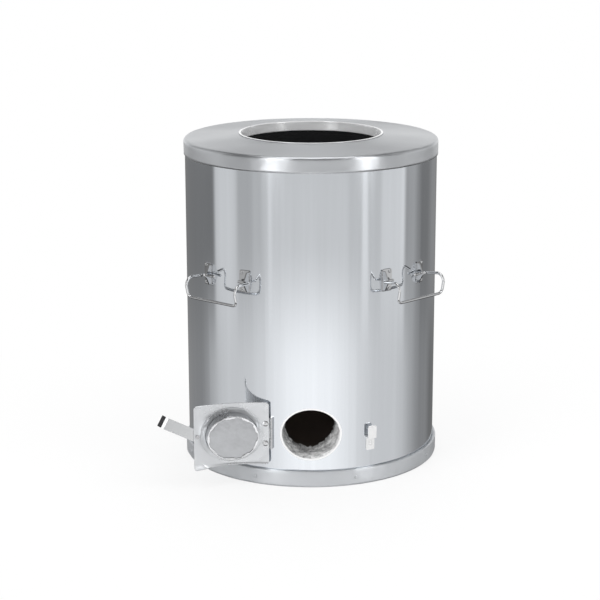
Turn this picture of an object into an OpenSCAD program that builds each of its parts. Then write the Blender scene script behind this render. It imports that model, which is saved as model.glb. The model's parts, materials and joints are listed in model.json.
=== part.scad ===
// Clay tandoor oven in a steel barrel, with a hinged draught door and four bail handles.
// Millimetres, +Z up, the front faces -Y. The origin is the middle of the flat underside.

/* [Barrel] */
// Outer diameter of the steel shell
shell_d = 554; // [520:2:580]
// Thickness of the shell sheet
shell_t = 1.2; // [0.8:0.1:2]
// Overhang of the top cap beyond the shell
rim_over = 2.5; // [2:0.5:8]
// Height of the cap's outer edge above the ground
rim_z = 714; // [640:1:800]
// Rise of the cap from its edge to the mouth, in degrees
cap_slope = 4.2; // [2:0.1:7]
// Depth of the cap's skirt
skirt_h = 34; // [24:1:50]
// Thickness of the cap sheet
cap_t = 1.2; // [0.8:0.1:2]
// Radius of the cap's outer edge
cap_edge_r = 7; // [3:0.5:10]
// Overhang of the base pan beyond the shell
pan_over = 7.5; // [6:0.5:14]
// Height of the base pan's upstand
pan_h = 36; // [26:1:45]
// Thickness of the pan sheet
pan_t = 1.5; // [1:0.1:2]
// Radius of the pan's lower edge
pan_edge_r = 5; // [4:0.5:12]

/* [Mouth] */
// Inner diameter of the mouth collar
mouth_d = 308; // [290:1:318]
// Depth of the mouth collar
collar_h = 21; // [18:1:30]
// Thickness of the collar sheet
collar_t = 1.2; // [0.8:0.1:2]
// Width of the collar's top lip
lip_w = 3.5; // [2.5:0.5:6]

/* [Clay pot] */
// Space between the pot's belly and the outside of the shell
lining_w = 50; // [44:1:60]
// Thickness of the pot wall
pot_wall = 26; // [20:1:30]
// Depth from the cap's edge down to the pot's lip
pot_drop = 19; // [16:1:28]
// Thickness of the base board
board_t = 18; // [12:1:24]
// Thickness of the refractory floor
floor_t = 26; // [18:1:30]

/* [Draught hole] */
// Width of the draught hole
hole_w = 124; // [116:1:126]
// Height of the draught hole
hole_h = 109; // [100:1:116]
// Height of the hole's centre above the ground
hole_z = 117.5; // [114:0.5:126]
// Wall of the mortar sleeve at the hole
sleeve_wall = 6; // [4:0.5:8]
// Width of the sleeve's inner end
sleeve_end_w = 104; // [80:1:110]
// Height of the sleeve's inner end
sleeve_end_h = 98; // [76:1:102]
// Length of the sleeve past the pot's inner wall
sleeve_past = 4; // [2:0.5:8]

/* [Door] */
// Width of the door plate
door_w = 161; // [150:1:170]
// Height of the door plate
door_h = 138; // [128:1:150]
// Thickness of the door plate
door_t = 1.2; // [1:0.1:1.6]
// Corner radius of the door plate
door_corner = 7; // [3:0.5:12]
// Gap between the shell and the closed door
door_gap = 2.2; // [2:0.1:3]
// Width of the flange round the plug
plug_flange_w = 133; // [128:1:136]
// Height of the flange round the plug
plug_flange_h = 119; // [114:1:122]
// Thickness of the plug's sheets
plug_t = 1.2; // [0.8:0.1:1.5]
// Width of the plug
plug_w = 112; // [104:1:113]
// Height of the plug
plug_h = 98; // [92:1:102]
// Depth of the plug behind the shell's front
plug_depth = 28; // [16:1:32]
// Crimped tabs that hold the plug's cover
plug_tabs = 8; // [6:1:12]
// How far the door stands open, in degrees
door_open = 169; // [0:1:174]

/* [Door hinge] */
// Distance from the hole's edge to the hinge pin
hinge_from_hole = 22.5; // [20:0.5:28]
// Diameter of the hinge knuckles
knuckle_d = 7; // [6:0.5:8]
// Length of the hinge
hinge_h = 67; // [55:1:75]
// Diameter of the hinge pin
hinge_pin_d = 3.6; // [3:0.1:4]
// Thickness of the hinge leaves
leaf_t = 1.2; // [1:0.1:1.5]
// Width of the hinge leaves
leaf_w = 20; // [17:1:22]
// Distance from the hinge pin to the door's edge
hinge_offset = 5; // [4.5:0.1:6]
// Distance between the two rivets that hold the door to its leaf
leaf_rivet_span = 44; // [40:1:50]
// Distance from the hinge pin to those rivets
leaf_rivet_x = 12; // [11.5:0.1:13]
// Head diameter of those rivets on the door's inner face
leaf_head_d = 13; // [10:0.5:13]
// Distance between the two rivets of the fixed leaf
fixed_rivet_span = 26; // [24:1:28]

/* [Latch] */
// Length of the lever from its pivot to its end
lever_l = 85; // [78:1:95]
// Width of the lever
lever_w = 25; // [20:0.5:26]
// Thickness of the lever
lever_t = 2; // [1.5:0.1:2.5]
// Radius of the lever's long curve
lever_curve = 420; // [400:10:900]
// Depth of the lever's finger lip
lever_lip = 15; // [10:1:20]
// How far the finger lip is bent outward, in degrees
lip_bend = 58; // [45:1:75]
// Distance from the door's free edge to the lever's pivot
lever_edge = 7.5; // [6:0.5:12]
// Height of the lever's pivot above the middle of the hole
pivot_rise = 1; // [0:0.5:4]
// How far the lever is raised, in degrees
lever_raise = 30; // [25:1:35]
// Diameter of the pivot rivet's shank
pivot_d = 6; // [5:0.5:7]
// Width of the keeper
keeper_w = 20; // [16:1:22]
// Thickness of the keeper
keeper_t = 2; // [1.5:0.1:2.5]
// Angle of the keeper round the shell from the front, in degrees
keeper_phi = 27.2; // [26:0.1:30]

/* [Handles] */
// Height of the handle pivots above the ground
handle_z = 444; // [380:1:520]
// Angle of the front left handle round the shell, in degrees
front_left_phi = -39; // [-46:0.5:-36]
// Angle of the front right handle, in degrees
front_right_phi = 44; // [40:0.5:48]
// Angle of the rear right handle, in degrees
rear_right_phi = 138; // [132:0.5:142]
// Angle of the rear left handle, in degrees
rear_left_phi = 222; // [218:0.5:228]
// How far the two left handles hang, in degrees
left_drop = 11; // [0:1:50]
// How far the two right handles hang, in degrees
right_drop = 7; // [0:1:50]
// Diameter of the handle wire
wire_d = 6; // [5:0.5:7]
// Half the distance between a handle's two ears
ear_u = 53; // [44:1:62]
// Distance that the wire's pivot stands off the shell at its ears
ear_reach = 12; // [11.5:0.1:16]
// Thickness of an ear
ear_t = 3; // [2.4:0.2:4]
// Height of a bracket's flange
bracket_h = 48; // [44:1:54]
// Thickness of a bracket's flange
bracket_t = 1.5; // [1:0.1:2]
// Reach of the handle's arms from the pivot
arm_out = 54; // [42:1:60]
// Rise of the arms at the elbow
arm_rise = 14.5; // [8:0.5:16]
// Drop from the elbow to the grip
arm_drop = 45; // [30:1:50]
// Extra half width of the grip beyond the ears
grip_wider = 15; // [13:1:28]
// Extra reach of the grip beyond the elbows
grip_lean = -2; // [-4:0.5:8]

/* [Rivets] */
// Diameter of the rivet shanks
rivet_d = 4; // [3:0.2:4.4]
// Diameter of the rivet heads
rivet_head_d = 8; // [7:0.5:9]
// Height of the rivet heads
rivet_head_h = 2; // [1.6:0.1:2.4]
// Rivets down the back seam
seam_rivets_n = 7; // [5:1:9]
// Rivets round the base pan
pan_rivets_n = 8; // [6:1:12]
// Width of the back seam strip
seam_w = 24; // [20:1:30]

/* [Hidden] */
seat_gap = 0.3;
hole_play = 0.15;
running_play = 0.06;
over = 4;
round_fn = 96;
fine_fn = 32;
corner_share = 0.125;

// Barrel, derived
shell_r = shell_d / 2;
shell_in = shell_r - shell_t;
rim_r = shell_r + rim_over;
pan_r = shell_r + pan_over;
shell_z0 = pan_t + seat_gap;
cap_in_r = cap_edge_r - cap_t;
cap_in_x = max(0, cap_edge_r - rim_over + seat_gap);
shell_z1 = rim_z - cap_edge_r + sqrt(max(0, cap_in_r * cap_in_r - cap_in_x * cap_in_x)) - seat_gap;
skirt_z = rim_z - skirt_h;
inner_gap = 3.3;
fill_r = shell_in - inner_gap;

// Mouth, derived
mouth_r = mouth_d / 2;
cap_inner_r = mouth_r + collar_t + seat_gap;
cap_bend_x = rim_r - cap_edge_r + cap_edge_r * sin(cap_slope);
cap_bend_z = rim_z - cap_edge_r + cap_edge_r * cos(cap_slope);
cap_inner_z = cap_bend_z + (cap_bend_x - cap_inner_r) * tan(cap_slope);
mouth_z = cap_inner_z + seat_gap + collar_t;

// Pot and floors, derived
board_z0 = pan_t + seat_gap;
board_z1 = board_z0 + board_t;
floor_z0 = board_z1 + seat_gap;
floor_z1 = floor_z0 + floor_t;
pot_z0 = floor_z1 + seat_gap;
pot_z1 = rim_z - pot_drop;
pot_h = pot_z1 - pot_z0;
pot_belly_r = shell_r - lining_w;
pot_lip_r = mouth_r + pot_wall;
pot_height_shares = [0, 0.12, 0.25, 0.4, 0.55, 0.7, 0.82, 0.92, 1];
pot_bulge_shares = [0.7, 0.925, 1, 0.925, 0.75, 0.5, 0.275, 0.1, 0];
pot_gap = 0.4;
seal_h = 18;
seal_w = 32;
fill_z1 = pot_z1 + seal_h / 2;

// Draught sleeve, derived
ellipse_n = 40;
sleeve_w = hole_w + 2 * sleeve_wall;
sleeve_h = hole_h + 2 * sleeve_wall;
sleeve_front_r = shell_in - seat_gap;
sleeve_back_y = -(shell_r - lining_w - pot_wall - sleeve_past);

// Door, derived: the radii count outward from the shell when the door is closed
pin_set = 0.4;
hinge_x = -(hole_w / 2 + hinge_from_hole);
door_r0 = shell_r + door_gap;
door_r1 = door_r0 + door_t;
leaf_r0 = door_r1 + seat_gap / 2;
leaf_r1 = leaf_r0 + leaf_t;
hinge_r = leaf_r0 + pin_set;
hinge_y = -sqrt(hinge_r * hinge_r - hinge_x * hinge_x);
hinge_phi = atan2(hinge_x, -hinge_y);
door_x0 = hinge_x + hinge_offset;
door_x1 = door_x0 + door_w;
flange_r0 = door_r0 - seat_gap - plug_t;
plug_front_y = -(shell_r - plug_depth);
plug_cover_y = plug_front_y - plug_t - plug_t - seat_gap;
tab_w = 9;
tab_reach = 6;
low_head_h = 1.4;

// Hinge, derived
knuckle_r = knuckle_d / 2;
hinge_z0 = hole_z - hinge_h / 2;
hinge_z1 = hole_z + hinge_h / 2;
knuckle_gap = 0.5;
knuckle_n = 3;
middle_h = hinge_h / knuckle_n;
middle_z0 = hole_z - middle_h / 2;
middle_z1 = hole_z + middle_h / 2;
fixed_rivet_x = 10.5;
leaf_clear = 0.6;
pin_head_h = 1.6;
pin_head_share = 0.8;

// Latch, derived
pivot_x = door_x1 - lever_edge;
pivot_phi = asin(pivot_x / door_r1);
lever_r0 = door_r1 + 2 * seat_gap;
lever_r1 = lever_r0 + lever_t;
pivot_z = hole_z + pivot_rise;
pivot_head_share = 2;
latched_drop = 1;
lever_back = lever_curve - lever_r1;
lever_end = lever_l / lever_curve * 180 / PI;
lever_end_x = lever_curve * sin(lever_end);
lever_skin = 0.15;
lever_lap = 2;
lever_inset = 0.7;
lip_mitre = lever_t * tan(lip_bend / 2);
keeper_turn = keeper_phi - pivot_phi;
keeper_reach = lever_r1 * sin(keeper_turn) + keeper_w / 2;
keeper_off = keeper_w / 2 - lever_back * sin(keeper_turn);
keeper_far = sqrt(lever_curve * lever_curve - keeper_off * keeper_off) - lever_back * cos(keeper_turn);
keeper_shelf_play = 0.4;
keeper_tab_play = 0.7;
keeper_rivet_share = 0.5;
keeper_foot = 28;
keeper_rise = 26;
keeper_r0 = shell_r + seat_gap;
keeper_shelf_z1 = pivot_z - keeper_reach * sin(latched_drop) - lever_w / 2 - keeper_shelf_play;
keeper_shelf_z0 = keeper_shelf_z1 - keeper_t;
keeper_tab_r0 = keeper_far + keeper_tab_play;
keeper_tab_r1 = keeper_tab_r0 + keeper_t;
keeper_corner = 4;

// Handles, derived: u runs along the shell, v outward and z up
wire_r = wire_d / 2;
handle_phis = [front_left_phi, front_right_phi, rear_right_phi, rear_left_phi];
handle_drops = [left_drop, right_drop, right_drop, left_drop];
ear_base_v = sqrt(shell_r * shell_r - ear_u * ear_u);
pivot_v = ear_base_v + ear_reach;
ear_phi = asin(ear_u / shell_r);
ear_nose = 7;
ear_flat = 7;
bracket_r0 = shell_r + seat_gap;
bracket_r1 = bracket_r0 + bracket_t;
bracket_pair = 17;
bracket_edge = 6.5;
rivet_rise = 19;
stub_l = 20;
bend_r = 7;
elbow_r = 16;
corner_r = 11;
bend_clear = 0.8;
arm_u = ear_u + ear_t / 2 + bend_clear + bend_r;
pin_past = 1.4;
sweep_lap = 0.8;
grip_u = ear_u + grip_wider;
wire_sides = 12;
wire_step = 18;
swept_share = 0.98;

// Rivets, derived
rivet_tail_h_share = 0.6;
rivet_tail_r_share = 1.5;
dome_r_shares = [1, 0.92, 0.6, 0];
dome_h_shares = [0, 0.5, 0.88, 1];
seam_phi = 180;

// Points on an arc, from angle a0 to a1 in n steps
function arc(cx, cy, r, a0, a1, n) =
    [for (i = [0:n]) let (a = a0 + (a1 - a0) * i / n) [cx + r * cos(a), cy + r * sin(a)]];

// Points on an ellipse of width w and height h
function ellipse(w, h, n) =
    [for (i = [0:n - 1]) let (a = 360 * (i + 0.5) / n) [w / 2 * cos(a), h / 2 * sin(a)]];

// Points of a rectangle with round corners, from x0 to x1 and y0 to y1
function round_box(x0, x1, y0, y1, r, n) = concat(
    arc(x1 - r, y0 + r, r, -90, 0, n),
    arc(x1 - r, y1 - r, r, 0, 90, n),
    arc(x0 + r, y1 - r, r, 90, 180, n),
    arc(x0 + r, y0 + r, r, 180, 270, n)
);

// Places children at angle phi round the shell, at radius r and height z, facing outward along -Y
module at_shell(phi, r, z) {
    rotate([0, 0, phi])
        translate([0, -r, z])
            children();
}

// Stands a profile drawn in x and z up along -Y, from y0 back to y1
module stand(y0, y1) {
    translate([0, y1, 0])
        rotate([90, 0, 0])
            linear_extrude(height = y1 - y0)
                children();
}

// A ring between two radii, between two heights
module tube(r0, r1, z0, z1) {
    translate([0, 0, z0])
        difference() {
            cylinder(r = r1, h = z1 - z0, $fn = round_fn);
            translate([0, 0, -over])
                cylinder(r = r0, h = z1 - z0 + 2 * over, $fn = round_fn);
        }
}

// A plate curved to the shell, between two radii, cut to a profile drawn in x and z
module curved_plate(r0, r1, z0, z1) {
    intersection() {
        tube(r0, r1, z0, z1);
        stand(-(r1 + over), 0)
            children();
    }
}

// A rivet that points outward: its head sits at z = 0 and its shank reaches down to a tail
module rivet(grip, d, head_d, head_h) {
    tail_h = head_h * rivet_tail_h_share;
    tail_r = d / 2 * rivet_tail_r_share;
    rotate([90, 0, 0])
        rotate_extrude($fn = fine_fn)
            polygon(concat(
                [[0, -grip - tail_h], [tail_r, -grip - tail_h], [tail_r, -grip], [d / 2, -grip], [d / 2, 0]],
                [for (i = [0:len(dome_r_shares) - 1])
                    [head_d / 2 * dome_r_shares[i], head_h * dome_h_shares[i]]]
            ));
}

// A round hole through a wall at the shell
module rivet_hole(d) {
    rotate([90, 0, 0])
        translate([0, 0, -over * 2])
            cylinder(d = d + 2 * hole_play, h = over * 4, $fn = fine_fn);
}

// Where every rivet through the shell sits: [phi, z]
bracket_pair_dphi = bracket_pair / shell_r * 180 / PI;
// Handles on the left have their rivet pairs on the left, and the others on the right
function handle_side(i) = i == 0 || i == len(handle_phis) - 1 ? -1 : 1;
bracket_places = [for (i = [0:len(handle_phis) - 1]) for (s = [-1, 1]) for (up = [-1, 1])
    [handle_phis[i] + s * ear_phi + handle_side(i) * bracket_pair_dphi, handle_z + up * rivet_rise]];
seam_z0 = pan_h + seat_gap;
seam_z1 = skirt_z - seat_gap;
seam_pitch = (seam_z1 - seam_z0) / seam_rivets_n;
seam_places = [for (i = [0:seam_rivets_n - 1]) [seam_phi, seam_z0 + seam_pitch * (i + 0.5)]];
pan_rivet_phi = 20;
pan_rivet_z = 18;
pan_places = [for (i = [0:pan_rivets_n - 1]) [pan_rivet_phi + 360 * i / pan_rivets_n, pan_rivet_z]];
fixed_leaf_phi = hinge_phi - fixed_rivet_x / shell_r * 180 / PI;
hinge_places = [for (s = [-1, 1]) [fixed_leaf_phi, hole_z + s * fixed_rivet_span / 2]];
keeper_rivet_z = keeper_shelf_z0 - keeper_foot * keeper_rivet_share;
keeper_places = [[keeper_phi, keeper_rivet_z]];
door_leaf_phi = hinge_phi + leaf_rivet_x / shell_r * 180 / PI;

// Barrel
module outer_shell() {
    color([0.8, 0.81, 0.82])
        difference() {
            tube(shell_in, shell_r, shell_z0, shell_z1);
            stand(-shell_r - over, 0)
                translate([0, hole_z])
                    polygon(ellipse(hole_w, hole_h, ellipse_n));
            for (p = concat(bracket_places, seam_places, pan_places, hinge_places, keeper_places))
                at_shell(p[0], shell_r, p[1])
                    rivet_hole(rivet_d);
        }
}

module seam_strip() {
    color([0.76, 0.77, 0.78])
        rotate([0, 0, seam_phi])
            difference() {
                curved_plate(shell_r + seat_gap, shell_r + seat_gap + shell_t, seam_z0, seam_z1)
                    polygon(round_box(-seam_w / 2, seam_w / 2, seam_z0, seam_z1, seam_w * corner_share, 3));
                for (p = seam_places)
                    at_shell(0, shell_r, p[1])
                        rivet_hole(rivet_d);
            }
}

module seam_rivets() {
    color([0.7, 0.7, 0.72])
        for (p = seam_places)
            at_shell(p[0], shell_r + shell_t + 2 * seat_gap, p[1])
                rivet(2 * shell_t + 3 * seat_gap, rivet_d, rivet_head_d, rivet_head_h);
}

module top_cap() {
    color([0.74, 0.74, 0.75])
        rotate_extrude($fn = round_fn)
            polygon(concat(
                [[rim_r - cap_t, skirt_z], [rim_r, skirt_z]],
                arc(rim_r - cap_edge_r, rim_z - cap_edge_r, cap_edge_r, 0, 90 - cap_slope, 4),
                [[cap_inner_r, cap_inner_z], [cap_inner_r, cap_inner_z - cap_t]],
                arc(rim_r - cap_edge_r, rim_z - cap_edge_r, cap_in_r, 90 - cap_slope, 0, 4)
            ));
}

module mouth_collar() {
    color([0.72, 0.72, 0.73])
        rotate_extrude($fn = round_fn)
            polygon([
                [mouth_r, mouth_z - collar_h],
                [mouth_r + collar_t, mouth_z - collar_h],
                [mouth_r + collar_t, mouth_z - collar_t],
                [mouth_r + collar_t + lip_w, mouth_z - collar_t],
                [mouth_r + collar_t + lip_w, mouth_z - collar_t / 2],
                [mouth_r + collar_t + lip_w - collar_t / 2, mouth_z],
                [mouth_r + collar_t / 2, mouth_z],
                [mouth_r, mouth_z - collar_t / 2]
            ]);
}

module mouth_seal() {
    color([0.35, 0.32, 0.3])
        tube(cap_inner_r + seat_gap, cap_inner_r + seal_w, pot_z1 + seat_gap, pot_z1 + seal_h);
}

module base_pan() {
    top_r = shell_r + seat_gap;
    inner_r = pan_edge_r - pan_t;
    color([0.74, 0.74, 0.75])
        difference() {
            rotate_extrude($fn = round_fn)
                polygon(concat(
                    [[0, 0]],
                    arc(pan_r - pan_edge_r, pan_edge_r, pan_edge_r, -90, 0, 4),
                    [[pan_r, pan_h - pan_t], [pan_r - pan_t / 2, pan_h]],
                    [[top_r, pan_h], [top_r, pan_h - pan_t]],
                    [[pan_r - pan_t, pan_h - pan_t]],
                    arc(pan_r - pan_edge_r, pan_edge_r, inner_r, 0, -90, 4),
                    [[0, pan_t]]
                ));
            for (p = pan_places)
                at_shell(p[0], pan_r, p[1])
                    rivet_hole(rivet_d);
        }
}

module pan_rivets() {
    grip = pan_r - shell_in + seat_gap;
    color([0.7, 0.7, 0.72])
        for (p = pan_places)
            at_shell(p[0], pan_r, p[1])
                rivet(grip, rivet_d, rivet_head_d, low_head_h);
}

// Lining
module base_board() {
    color([0.85, 0.83, 0.78])
        translate([0, 0, board_z0])
            cylinder(r = fill_r, h = board_t, $fn = round_fn);
}

module refractory_floor() {
    color([0.6, 0.42, 0.32])
        translate([0, 0, floor_z0])
            cylinder(r = fill_r, h = floor_t, $fn = round_fn);
}

// The pot's outer or inner outline, grown outward by extra
function pot_side(extra) = [for (i = [0:len(pot_height_shares) - 1])
    let (r = pot_lip_r + (pot_belly_r - pot_lip_r) * pot_bulge_shares[i])
        [r + extra, pot_z0 + pot_h * pot_height_shares[i]]];
function reverse(list) = [for (i = [len(list) - 1:-1:0]) list[i]];

// The passage that the draught sleeve fills, grown by extra
module sleeve_bore(extra) {
    stand(-shell_r, 0)
        translate([0, hole_z])
            polygon(ellipse(sleeve_w + 2 * extra, sleeve_h + 2 * extra, ellipse_n));
}

module clay_pot() {
    color([0.62, 0.36, 0.24])
        difference() {
            rotate_extrude($fn = round_fn)
                polygon(concat(pot_side(0), reverse(pot_side(-pot_wall))));
            sleeve_bore(seat_gap);
        }
}

module insulation_fill() {
    color([0.82, 0.78, 0.66])
        difference() {
            rotate_extrude($fn = round_fn)
                polygon(concat(
                    reverse(pot_side(pot_gap)),
                    [[fill_r, pot_z0], [fill_r, fill_z1], [cap_inner_r + seal_w + pot_gap, fill_z1]],
                    [[cap_inner_r + seal_w + pot_gap, pot_z1]]
                ));
            sleeve_bore(seat_gap);
        }
}

module draught_sleeve() {
    taper_l = shell_r + sleeve_back_y;
    end_shares = [sleeve_end_w / hole_w, sleeve_end_h / hole_h];
    color([0.5, 0.48, 0.45])
        intersection() {
            difference() {
                stand(-shell_r, sleeve_back_y)
                    translate([0, hole_z])
                        polygon(ellipse(sleeve_w, sleeve_h, ellipse_n));
                translate([0, -shell_r, hole_z])
                    rotate([-90, 0, 0])
                        linear_extrude(height = taper_l + over, scale = end_shares, slices = 1)
                            polygon(ellipse(hole_w, hole_h, ellipse_n));
            }
            translate([0, 0, hole_z - sleeve_h])
                cylinder(r = sleeve_front_r, h = 2 * sleeve_h, $fn = round_fn);
        }
}

// Door hinge, drawn with the door closed
module knuckle(z0, z1) {
    translate([hinge_x, hinge_y, z0])
        cylinder(r = knuckle_r, h = z1 - z0, $fn = fine_fn);
}

module hinge_bore(play) {
    translate([hinge_x, hinge_y, hinge_z0 - over])
        cylinder(d = hinge_pin_d + 2 * play, h = hinge_h + 2 * over, $fn = fine_fn);
}

module hinge_fixed_leaf() {
    fixed_r0 = shell_r + seat_gap;
    corner = leaf_w * corner_share;
    color([0.7, 0.7, 0.71])
        difference() {
            union() {
                knuckle(hinge_z0, middle_z0 - knuckle_gap);
                knuckle(middle_z1 + knuckle_gap, hinge_z1);
                difference() {
                    curved_plate(fixed_r0, fixed_r0 + leaf_t, hinge_z0, hinge_z1)
                        polygon(round_box(hinge_x - leaf_w, hinge_x, hinge_z0, hinge_z1, corner, 3));
                    translate([hinge_x, hinge_y, middle_z0 - knuckle_gap])
                        cylinder(r = knuckle_r + leaf_clear, h = middle_h + 2 * knuckle_gap, $fn = fine_fn);
                }
            }
            hinge_bore(hole_play / 2);
            for (p = hinge_places)
                at_shell(p[0], shell_r, p[1])
                    rivet_hole(rivet_d);
        }
}

module hinge_pin() {
    color([0.6, 0.6, 0.62])
        translate([hinge_x, hinge_y, 0]) {
            translate([0, 0, hinge_z0 - pin_head_h])
                cylinder(d = hinge_pin_d, h = hinge_h + 2 * pin_head_h, $fn = fine_fn);
            translate([0, 0, hinge_z1 + seat_gap / 2])
                cylinder(r = knuckle_r * pin_head_share, h = pin_head_h, $fn = fine_fn);
            translate([0, 0, hinge_z0 - seat_gap / 2 - pin_head_h])
                cylinder(r = knuckle_r * pin_head_share, h = pin_head_h, $fn = fine_fn);
        }
}

module hinge_rivets() {
    color([0.7, 0.7, 0.72])
        for (p = hinge_places)
            at_shell(p[0], shell_r + leaf_t + 2 * seat_gap, p[1])
                rivet(shell_t + leaf_t + 3 * seat_gap, rivet_d, rivet_head_d, low_head_h);
}

// Door, drawn closed and swung open about the hinge pin
module swing_door() {
    translate([hinge_x, hinge_y, 0])
        rotate([0, 0, -door_open])
            translate([-hinge_x, -hinge_y, 0])
                children();
}

module door_plate() {
    z0 = hole_z - door_h / 2;
    z1 = hole_z + door_h / 2;
    color([0.75, 0.75, 0.76])
        swing_door()
            difference() {
                curved_plate(door_r0, door_r1, z0, z1)
                    polygon(round_box(door_x0, door_x1, z0, z1, door_corner, 4));
                at_shell(pivot_phi, door_r1, pivot_z)
                    rivet_hole(pivot_d);
                for (s = [-1, 1])
                    at_shell(door_leaf_phi, door_r1, hole_z + s * leaf_rivet_span / 2)
                        rivet_hole(rivet_d);
            }
}

module door_hinge_leaf() {
    corner = leaf_w * corner_share;
    relief_h = middle_z0 - hinge_z0 + over;
    color([0.7, 0.7, 0.71])
        swing_door()
            difference() {
                union() {
                    knuckle(middle_z0, middle_z1);
                    difference() {
                        curved_plate(leaf_r0, leaf_r1, hinge_z0, hinge_z1)
                            polygon(round_box(hinge_x, hinge_x + leaf_w, hinge_z0, hinge_z1, corner, 3));
                        for (z = [hinge_z0 - over, middle_z1])
                            translate([hinge_x, hinge_y, z])
                                cylinder(r = knuckle_r + leaf_clear, h = relief_h, $fn = fine_fn);
                    }
                }
                hinge_bore(running_play);
                for (s = [-1, 1])
                    at_shell(door_leaf_phi, door_r1, hole_z + s * leaf_rivet_span / 2)
                        rivet_hole(rivet_d);
            }
}

// These rivets have their wide, low heads on the door's inner face
module door_leaf_rivets() {
    color([0.7, 0.7, 0.72])
        swing_door()
            for (s = [-1, 1])
                at_shell(door_leaf_phi, door_r0 - seat_gap / 2, hole_z + s * leaf_rivet_span / 2)
                    mirror([0, 1, 0])
                        rivet(leaf_r1 - door_r0 + seat_gap, rivet_d, leaf_head_d, low_head_h);
}

module plug_flange() {
    color([0.74, 0.74, 0.75])
        swing_door()
            curved_plate(flange_r0, flange_r0 + plug_t, hole_z - plug_flange_h, hole_z + plug_flange_h)
                difference() {
                    translate([0, hole_z])
                        polygon(ellipse(plug_flange_w, plug_flange_h, ellipse_n));
                    translate([0, hole_z])
                        polygon(ellipse(plug_w + 2 * seat_gap, plug_h + 2 * seat_gap, ellipse_n));
                }
}

module plug_collar() {
    color([0.78, 0.78, 0.79])
        swing_door()
            intersection() {
                union() {
                    stand(-door_r0, plug_front_y)
                        difference() {
                            translate([0, hole_z])
                                polygon(ellipse(plug_w, plug_h, ellipse_n));
                            translate([0, hole_z])
                                polygon(ellipse(plug_w - 2 * plug_t, plug_h - 2 * plug_t, ellipse_n));
                        }
                    for (i = [0:plug_tabs - 1])
                        plug_tab(360 * (i + 0.5) / plug_tabs);
                }
                translate([0, 0, hole_z - plug_h])
                    cylinder(r = door_r0 - seat_gap, h = 2 * plug_h, $fn = round_fn);
            }
}

// One tab, bent from the collar over the plug's cover
module plug_tab(a) {
    x = (plug_w / 2 - plug_t / 2) * cos(a);
    z = (plug_h / 2 - plug_t / 2) * sin(a);
    turn = atan2(plug_w * sin(a), plug_h * cos(a));
    translate([x, plug_front_y - plug_t, hole_z + z])
        rotate([0, -turn, 0])
            translate([-tab_reach, 0, -tab_w / 2])
                cube([tab_reach, plug_t, tab_w]);
}

module plug_filling() {
    inner_w = plug_w - 2 * plug_t - 2 * seat_gap;
    inner_h = plug_h - 2 * plug_t - 2 * seat_gap;
    color([0.82, 0.78, 0.66])
        swing_door()
            intersection() {
                stand(-door_r0, plug_cover_y - seat_gap)
                    translate([0, hole_z])
                        polygon(ellipse(inner_w, inner_h, ellipse_n));
                translate([0, 0, hole_z - plug_h])
                    cylinder(r = door_r0 - seat_gap, h = 2 * plug_h, $fn = round_fn);
            }
}

module plug_cover() {
    inner_w = plug_w - 2 * plug_t - 2 * seat_gap;
    inner_h = plug_h - 2 * plug_t - 2 * seat_gap;
    color([0.7, 0.7, 0.71])
        swing_door()
            stand(plug_cover_y, plug_cover_y + plug_t)
                translate([0, hole_z])
                    polygon(ellipse(inner_w, inner_h, ellipse_n));
}

// Latch, drawn level on the closed door, then raised and swung open with it
module raise_lever() {
    swing_door()
        at_shell(pivot_phi, 0, pivot_z)
            rotate([0, -lever_raise, 0])
                children();
}

// The finger lip seen from above, with its mitred bend at the lever's end
function lip_outline() = let (out = [cos(lip_bend), -sin(lip_bend)], back = [sin(lip_bend), cos(lip_bend)],
    thick = lever_t - 2 * lever_skin,
    start = [-lever_inset, 0])
    [[-lever_lap, 0], start, start + lever_lip * out, start + lever_lip * out + thick * back,
        start + [lip_mitre, thick], [-lever_lap, thick]];

module latch_lever() {
    color([0.72, 0.72, 0.73])
        raise_lever()
            difference() {
                union() {
                    translate([0, lever_back, 0]) {
                        curved_plate(lever_curve - lever_t, lever_curve, -lever_w, lever_w)
                            polygon(concat(
                                arc(0, 0, lever_w / 2, 90, 270, 10),
                                [[lever_end_x, -lever_w / 2], [lever_end_x, lever_w / 2]]
                            ));
                        rotate([0, 0, lever_end])
                            translate([0, -lever_curve + lever_skin, -lever_w / 2 + lever_skin])
                                linear_extrude(height = lever_w - 2 * lever_skin)
                                    polygon(lip_outline());
                    }
                }
                translate([0, -lever_r0 + over, 0])
                    rotate([90, 0, 0])
                        cylinder(d = pivot_d + 2 * running_play, h = lever_t + 2 * over, $fn = fine_fn);
            }
}

module latch_pivot() {
    head_r = lever_r1 + 2 * seat_gap;
    color([0.7, 0.7, 0.72])
        swing_door()
            at_shell(pivot_phi, head_r, pivot_z)
                rivet(head_r - door_r0 + seat_gap / 2, pivot_d, pivot_d * pivot_head_share, rivet_head_h);
}

module latch_keeper() {
    foot_z0 = keeper_shelf_z0 - keeper_foot;
    tab_z1 = keeper_shelf_z0 + keeper_t + keeper_rise;
    half_w = keeper_w / 2;
    color([0.72, 0.72, 0.73])
        rotate([0, 0, keeper_phi])
            difference() {
                union() {
                    stand(-keeper_r0 - keeper_t, -keeper_r0)
                        polygon(round_box(-half_w, half_w, foot_z0, keeper_shelf_z1, keeper_t, 3));
                    translate([-half_w, -keeper_tab_r1, keeper_shelf_z0])
                        cube([keeper_w, keeper_tab_r1 - keeper_r0, keeper_t]);
                    stand(-keeper_tab_r1, -keeper_tab_r0)
                        polygon(concat(
                            [[-half_w, keeper_shelf_z0], [half_w, keeper_shelf_z0]],
                            arc(half_w - keeper_corner, tab_z1 - keeper_corner, keeper_corner, 0, 90, 4),
                            arc(keeper_corner - half_w, tab_z1 - keeper_corner, keeper_corner, 90, 180, 4)
                        ));
                }
                at_shell(0, shell_r, keeper_rivet_z)
                    rivet_hole(rivet_d);
            }
}

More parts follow.
